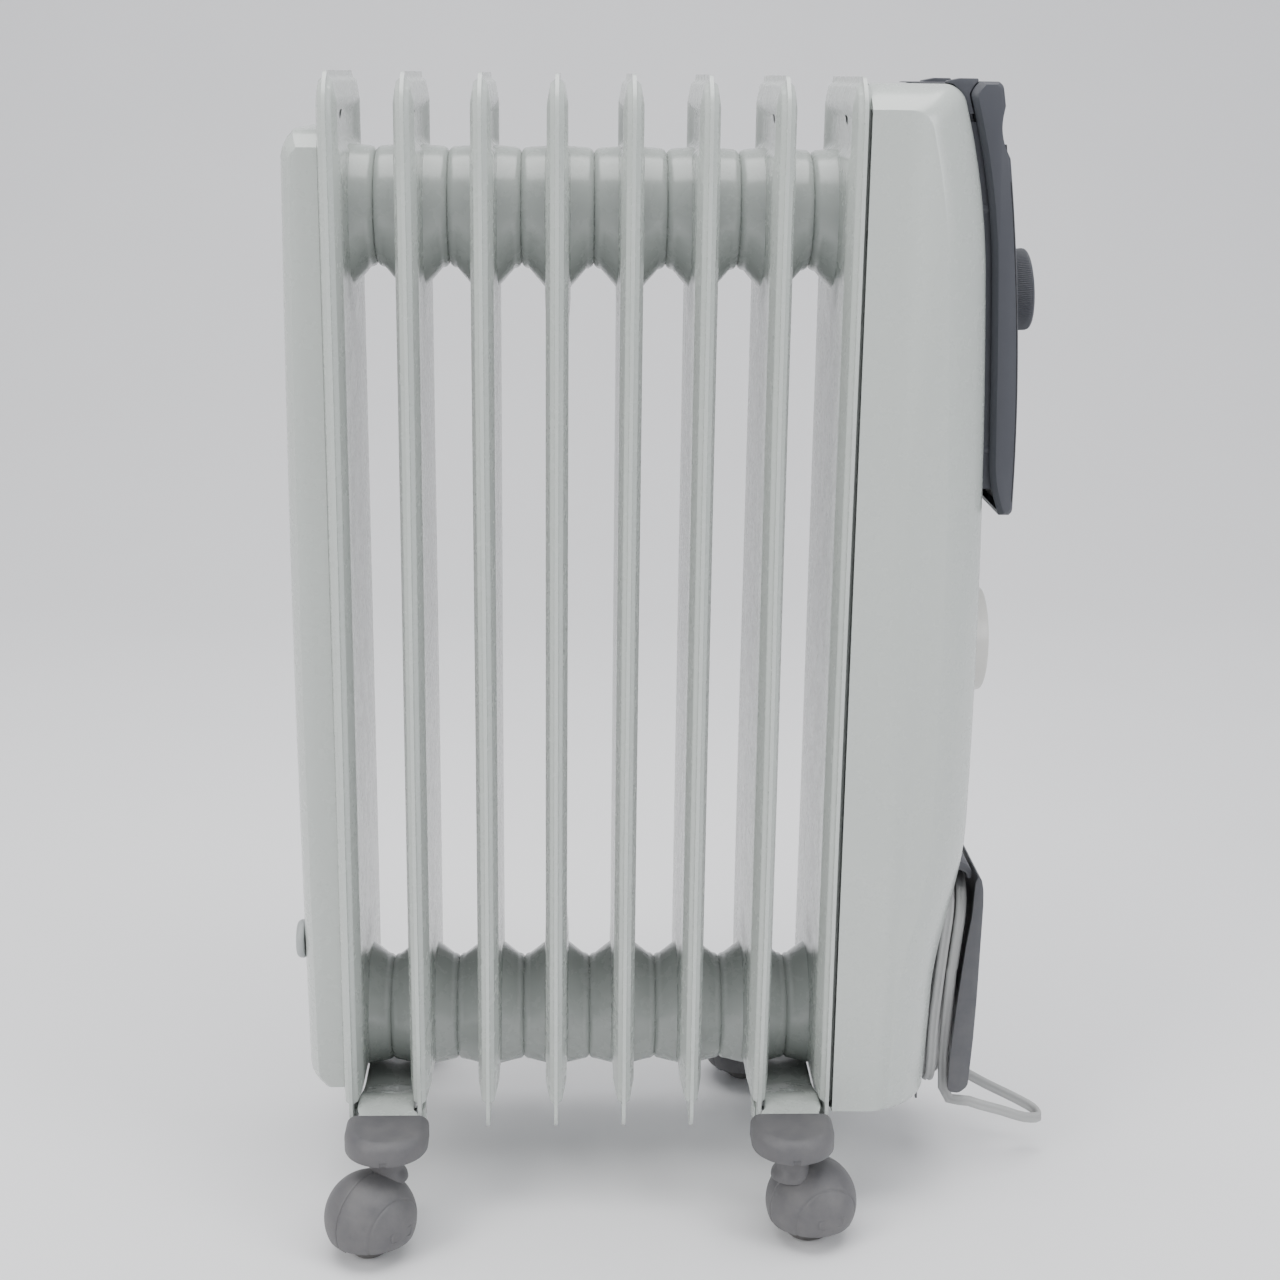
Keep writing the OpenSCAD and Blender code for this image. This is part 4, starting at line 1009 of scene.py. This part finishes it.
# ---- cord storage ----
def make_wrap():
    z = np.linspace(50, 188, 50)
    secs = []
    for y in np.concatenate([[-34, -33.8, -33.2, -32.2], np.linspace(-28, 28, 9), [32.2, 33.2, 33.8, 34]]):
        e = max(0.0, (abs(y) - 31) / 3)
        low = 50 + 3.5 * e ** 2.5
        zz = low + (188 - 2.5 * e ** 2.5 - low) * (z - 50) / 138
        f = house_face(np.maximum(zz, 70)) + 0.3
        thick = math.sqrt(max(0.06, 1 - e ** 3))
        secs.append(np.vstack([at_y(f + thick, y, zz), at_y(f, y, zz)[::-1]]))
    plate = loft("wrap_back_plate", in_model(secs), dark, angle=40)
    zs = np.linspace(186, 198, 12)
    fs = house_face(zs) + 0.3
    strip = [np.vstack([at_y(fs + 0.95, y, zs), at_y(fs, y, zs)[::-1]]) for y in (-26, 26)]
    strip = loft("wrap_hook_strip", in_model(strip), dark, angle=40)
    core_line = [(198.5, 72), (214, 72), (221.5, 168), (219, 172), (204, 172)]
    core = prism("wrap_core", core_line, -14, 14, dark, round_r=3, bevel_r=1.0)
    from_stack(core)
    hook_line = [(207.8, 194), (214, 194.5), (219.4, 192.9), (220.6, 189), (222.6, 189), (222.6, 194.5),
                 (220.3, 197.4), (214, 200.5), (207.8, 199.6)]
    hook = prism("wrap_hook", hook_line, -26, 26, dark, round_r=1.6, bevel_r=0.8)
    from_stack(hook)
    outline = [(214, 57.5), (216, 55.6), (221, 55), (226, 59.5), (227.6, 90), (228.3, 116), (228.9, 176),
               (228.4, 186), (227, 192), (225.2, 194), (223.6, 190), (223.2, 180), (222.8, 170),
               (220, 148), (216.5, 109), (214.2, 75)]
    plate2 = prism("wrap_outer_shell", outline, -35, 35, dark, round_r=2.4)
    inside = [(205, 45), (218.5, 45), (223.0, 62), (224.8, 90), (225.5, 116), (226.1, 176), (225.4, 186),
              (224.4, 200), (216, 200), (205, 100)]
    inner = prism("tool", inside, -32.5, 32.5, dark, body=None)
    for o in (plate2, inner):
        from_stack(o)
    cut(plate2, inner)
    bevel(plate2, 0.0009, 3, 35)
    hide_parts("wrap_base")
    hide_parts("wrap_outer_plate")
    # tapered strain relief with grip rings, lying along the back plate
    a, b = np.array([196.0, 19, 60]), np.array([200.2, 20.8, 86])
    axis = b - a
    length = np.linalg.norm(axis)
    prof = [(0, -1), (4.6, -1), (4.6, 2)]
    for k in range(6):
        t = k / 6
        neck_r = 3.7 - 0.9 * t
        prof += [(4.4 - 1.1 * t, 2.6 + k * 3.6), (neck_r, 3.4 + k * 3.6), (neck_r, 5.2 + k * 3.6)]
    prof += [(2.4, length), (0, length)]
    m = np.array(axis_matrix((a[0] + STACK_X, a[1], a[2]), axis))
    pts = lathe_points(prof, 32)
    v = pts.reshape(-1, 3) @ m[:3, :3].T + m[:3, 3]
    v[:, 0] = (a[0] + STACK_X) + (v[:, 0] - (a[0] + STACK_X)) * 0.85
    relief = link("cord_relief", v, grid_faces(len(prof), 32, close_cols=True), dark, angle=50)
    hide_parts("cord_strain_relief")


# ---- casters ----
SWIVEL_X, SWIVEL_Y, JOINT_X = 114.0, 103.5, 117.0
HOOD_Z, TRAIL, HOLE_Y = 22.5, 13.0, 49.5
# side, near or far, and the direction in which each caster trails
CASTERS = [(-1, -1, 228), (1, -1, 21), (-1, 1, 132), (1, 1, 216)]


def caster_frame(i):
    sx, sy, d = CASTERS[i]
    swivel = Matrix.Translation((sx * SWIVEL_X + STACK_X, sy * SWIVEL_Y, 0))
    return swivel @ Matrix.Rotation(math.radians(d), 4, "Z")


def place(obj, m):
    """Moves a mesh drawn in millimetres round a caster's own axis to where the caster is."""
    k = m.copy()
    k.translation = k.translation / 1000
    obj.data.transform(k)
    return obj


def make_hood(i):
    r, rin = 25.9, 24.7
    lo = -10.3
    n = 288
    a0, a1 = math.asin(lo / r), math.asin(lo / rin)
    outer = [(r * math.cos(t), r * math.sin(t)) for t in np.linspace(a0 + 0.012, math.pi / 2, 110)]
    inner = [(rin * math.cos(t), rin * math.sin(t)) for t in np.linspace(math.pi / 2, a1, 40)]
    prof = inner + [(r * math.cos(a0) - 0.9, lo), (r * math.cos(a0) - 0.35, lo)] + outer
    prof = [(max(0.0, p), q) for p, q in prof]
    verts = lathe_points(prof, n)
    faces = grid_faces(len(prof), n, close_cols=True)
    v = verts.reshape(-1, 3)
    rad = np.linalg.norm(v, axis=1)
    # arc groove where the two halves of the hood meet, and a blank raised badge on each side
    outside = rad > rin + 0.7
    groove = np.exp(-(v[:, 1] / 0.45) ** 2) * 0.6 * outside
    round_side = np.hypot(v[:, 0], v[:, 2] + 2)
    ring = np.exp(-((round_side - 18.5) / 0.45) ** 2) * 0.55 * outside * (abs(v[:, 1]) > 5)
    v = v * (1 - (groove + ring) / np.maximum(rad, 1))[:, None]
    v = v + np.array([TRAIL, 0, HOOD_Z])
    ball = link(f"caster_hood_ball_{i + 1}", v, faces, dark_low, body=None, angle=60)
    sleeve = [(4.05, 58), (7.9, 58), (8.85, 57.2), (8.85, 51), (9.4, 47.5), (11.5, 44), (12, 41), (4.05, 41),
              (4.05, 58)]
    collar = lathe("collar", fillet(sleeve, 0.8, 4), dark_low, body=None, n=64)
    half_disc = [(TRAIL + 24.9 * math.cos(t), HOOD_Z + 24.9 * math.sin(t))
                 for t in np.linspace(math.radians(-30), math.radians(210), 48)]
    web = prism("web", half_disc, -2.5, 2.5, dark_low, body=None)
    badges = []
    for side in (-1, 1):
        w, hgt = 8.2, 3.1
        loop = rounded_loop([(-w, -hgt), (w, -hgt), (w, hgt), (-w, hgt)], 2.2, 5)
        rows = []
        for grow, lift in ((1.0, -0.5), (1.0, 0.25), (0.97, 0.42), (0.90, 0.42), (0.88, 0.22)):
            row = []
            for p, q in loop:
                u, w2 = p * grow, q * (grow if grow == 1.0 else grow - 0.03)
                el = math.radians(-4) + w2 / r
                az = math.radians(90 * side) + u / r
                rr = r + lift
                level = rr * math.cos(el)
                row.append((TRAIL + level * math.cos(az), level * math.sin(az), HOOD_Z + rr * math.sin(el)))
            rows.append(row)
        k = len(loop)
        f = grid_faces(5, k, close_cols=True) + [[4 * k + j for j in range(k)]]
        badges.append(link("badge", np.array(rows).reshape(-1, 3), f, dark_low, body=None, angle=35))
    m = caster_frame(i)
    parts = [place(o, m) for o in [ball, collar, web] + badges]
    whole = join(f"caster_hood_shell_{i + 1}", parts, f"swivel_{i + 1}")
    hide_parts(f"caster_hood_{i + 1}")


def make_wheel(i):
    parts = []
    for side in (1, -1):
        prof = fillet([(0, 3), (21.2, 3), (22, 3.8), (22, 6.2), (20.8, 8.4), (18, 10.4), (14, 11.5),
                       (12.2, 9.4), (6.2, 9.2), (5, 11), (0, 11)], 0.9, 4)
        dense = [prof[0]]
        for a, b in zip(prof, prof[1:]):
            k = max(1, int(math.hypot(b[0] - a[0], b[1] - a[1]) / 1.2))
            dense += [[a[0] + (b[0] - a[0]) * t / k, a[1] + (b[1] - a[1]) * t / k] for t in range(1, k + 1)]

        def tread(r, _, z):
            groove = np.exp(-((z - 5.0) / 0.35) ** 2) * 0.35
            return np.where(r > 21, r - groove, r)
        o = lathe("wheel", [(p, q) for p, q in dense], black, n=96, mod=tread, body=None)
        if side < 0:
            o.data.transform(Matrix.Scale(side, 4, (0, 0, 1)))
        parts.append(o)
    parts.append(lathe("axle", fillet([(0, -7), (3, -7), (3, 7), (0, 7)], 0.2), black, n=32, body=None))
    m = caster_frame(i) @ Matrix.Translation((TRAIL, 0, 22)) @ Matrix.Rotation(math.radians(90), 4, "X")
    parts = [place(o, m) for o in parts]
    whole = join(f"caster_wheel_pair_{i + 1}", parts, f"wheel_{i + 1}")
    bm = bmesh.new()
    bm.from_mesh(whole.data)
    bmesh.ops.recalc_face_normals(bm, faces=bm.faces)
    bm.to_mesh(whole.data)
    bm.free()
    crease(whole, 45)
    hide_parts(f"caster_wheel_{i + 1}")


def make_cap(i):
    sx, sy = CASTERS[i][:2]
    half, y0, lo, hi, bend = 23.2, SWIVEL_Y, 59.8, 73.0, 6.0
    back = -11.5
    arc = [(half * math.cos(t), half * math.sin(t)) for t in np.linspace(0, math.pi, 49)]
    straight = [back + k * 3.0 for k in range(4)]
    loop = [(half, y) for y in straight] + arc + [(-half, y) for y in straight[::-1]]
    rows = []
    for a in np.linspace(0, math.pi / 2, 9):
        d = bend * (1 - math.cos(a))
        z = hi - bend + bend * math.sin(a)
        rows.append([(x * (half - d) / half, y if y < 0 else y * (half - d) / half, z) for x, y in loop])
    bottom = [(x * 0.985, y if y < 0 else y * 0.985, lo) for x, y in loop]
    wall = [(x, y, lo + 0.6) for x, y in loop]
    inner_top = [(x * 0.92, y if y < 0 else y * 0.92, hi - 1.8) for x, y in loop]
    inner_bot = [(x * 0.92, y if y < 0 else y * 0.92, lo) for x, y in loop]
    body = [inner_top, inner_bot, bottom, wall] + rows
    k = len(loop)
    f = grid_faces(len(body), k) + [[(len(body) - 1) * k + j for j in range(k)], [j for j in range(k)]]
    v = np.array(body, float).reshape(-1, 3)
    v[:, 1] += y0
    if sy < 0:
        v[:, 1] *= -1
    v[:, 0] += sx * SWIVEL_X + STACK_X
    cap = link(f"bracket_cap_shell_{i + 1}", v, f, dark_low, angle=40)
    notch = round_tool((sx * SWIVEL_X, sy * (y0 + half + 0.9), lo - 1), (0, 0, 1), 2.4, 4.0, 24)
    cut(cap, notch)
    crease(cap, 40)
    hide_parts(f"bracket_cap_{i + 1}")


def make_bracket(side, name):
    """Pressed strap with rounded edges, a dimpled hole and a shallow bead."""
    jx, sx = side * JOINT_X, side * (SWIVEL_X + 0.5)
    line = [(0, 58.5), (32, 58.5), (46, 62.5), (58, 66.8), (78, 66.8), (122, 66.8)]
    ws = np.array([-1, -0.985, -0.93, -0.8, -0.6, -0.3, 0, 0.3, 0.6, 0.8, 0.93, 0.985, 1])
    objs = []
    for way in (1, -1):
        prof = fillet([np.array(p, float) for p in line], 6.0, 6)
        dense = [np.array(prof[0], float)]
        for a, b in zip(prof, prof[1:]):
            a, b = np.array(a, float), np.array(b, float)
            k = max(1, int(np.linalg.norm(b - a) / 1.6))
            dense += [a + (b - a) * t / k for t in range(1, k + 1)]
        top, bot = [], []
        for y, z in np.array(dense):
            t = smooth((y - 74) / 8)
            half = 15.8 * (1 - t) + 16.5 * t
            if y > 106:
                half = min(half, math.sqrt(max(4.0, 20.6 ** 2 - (y - SWIVEL_Y) ** 2)))
            cx = jx * (1 - t) + sx * t
            rows_t, rows_b = [], []
            for w in ws:
                edge = 0.4 * abs(w) ** 30
                x = cx + w * half
                dent = 0.9 * math.exp(-(((x - jx) / 4.6) ** 2 + ((y - HOLE_Y) / 4.6) ** 2) ** 2)
                rib = 0.5 * smooth((abs(w) - 0.62) / 0.1) * (1 - smooth((abs(w) - 0.80) / 0.1)) \
                    * smooth((y - 62) / 6)
                rows_t.append([x, way * y, z + 1.5 - edge - dent * 0.7 + rib])
                rows_b.append([x, way * y, z + edge * 0.6 - dent])
            top.append(rows_t)
            bot.append(rows_b[::-1])
        secs = [np.vstack([t, b]) for t, b in zip(top, bot)]
        objs.append(loft("strap", in_model(secs), paint, body=None, angle=35))
    # turned-down lugs beside the feet of the two fins
    near_half = [(-66, 53.5), (-66, 67.4), (-58, 67.4), (-46, 63.1), (-32, 59.1)]
    o = rounded_loop(near_half + [(-y, z) for y, z in near_half[::-1]], 2.0, 3)
    for x in (-1, 1):
        x0 = jx + x * 14.9
        lug = [[(x0 + d, y, z) for y, z in o] for d in (-0.9, -0.7, 0.7, 0.9)]
        objs.append(loft("lug", in_model(lug), paint, body=None, angle=35))
    strap = join(name + "_strap", objs)
    for sy in (-1, 1):
        cut(strap, round_tool((side * JOINT_X, sy * HOLE_Y, 55), (0, 0, 1), 3.0, 20, 40))
    crease(strap, 35)
    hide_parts(name)


make_panel()
make_handle()
make_knob()
make_switches()
make_timer()
make_wrap()
for k in range(4):
    make_hood(k)
    make_wheel(k)
    make_cap(k)
make_bracket(-1, "caster_bracket_1")
make_bracket(1, "caster_bracket_2")

for name in ("heat_shield", "heating_element", "element_flange", "oil_filler_plug", "cover_screws",
             "clip_screws", "caster_stems", "thermostat_shaft"):
    paint_node(name, steel)
paint_node("bracket_clips", paint)
for name in ("tip_over_switch", "thermal_cutout", "housing_clips"):
    paint_node(name, black_gloss)
for name in ("thermostat_body", "timer_module", "terminal_block"):
    paint_node(name, moulding)


# ---- studio ----
def make_studio():
    mat, nt, bsdf = new_material("studio_paper")
    coord = nt.nodes.new("ShaderNodeTexCoord").outputs["Object"]
    grain = noise(nt, coord, 3.0, 3.0, 0.5)
    nt.links.new(mix(nt, remap(nt, grain, 0.3, 0.7, 0.0, 1.0), (0.84, 0.84, 0.85), (0.82, 0.82, 0.83)),
                 bsdf.inputs["Base Color"])
    bsdf.inputs["Roughness"].default_value = 0.75
    n = 40
    prof = [(-2.5, 0.0), (1.3, 0.0)]
    for k in range(1, n + 1):
        a = math.pi / 2 * k / n
        prof.append((1.3 + 1.6 * math.sin(a), 1.6 - 1.6 * math.cos(a)))
    prof += [(2.9, 3.8)]
    verts = [(x, y, z) for y, z in prof for x in (-3.2, 3.2)]
    faces = [[2 * k, 2 * k + 1, 2 * k + 3, 2 * k + 2] for k in range(len(prof) - 1)]
    sweep_obj = link("studio_sweep", verts, faces, mat, body=None, scale=1.0)


def area_light(name, at, to, size, power, colour=(1, 1, 1)):
    lamp = D.lights.new(name, "AREA")
    lamp.shape = "RECTANGLE"
    lamp.size, lamp.size_y = size
    lamp.energy = power
    lamp.color = colour
    obj = D.objects.new(name, lamp)
    bpy.context.collection.objects.link(obj)
    obj.location = at
    obj.rotation_mode = "QUATERNION"
    obj.rotation_quaternion = (Vector(to) - Vector(at)).to_track_quat("-Z", "Y")


make_studio()
area_light("top_soft", (0.0, -0.1, 2.3), (0, 0, 0.3), (2.4, 1.8), 66)
area_light("left_front", (-1.9, -1.7, 1.5), (0, 0, 0.35), (1.2, 1.5), 44, (1.0, 0.99, 0.97))
area_light("right_front", (2.1, -1.5, 1.4), (0, 0, 0.35), (1.1, 1.5), 32, (0.97, 0.98, 1.0))
world = D.worlds.new("studio_world")
bpy.context.scene.world = world
world.use_nodes = True
world.node_tree.nodes["Background"].inputs[0].default_value = (0.93, 0.94, 1.0, 1)
world.node_tree.nodes["Background"].inputs[1].default_value = 0.55
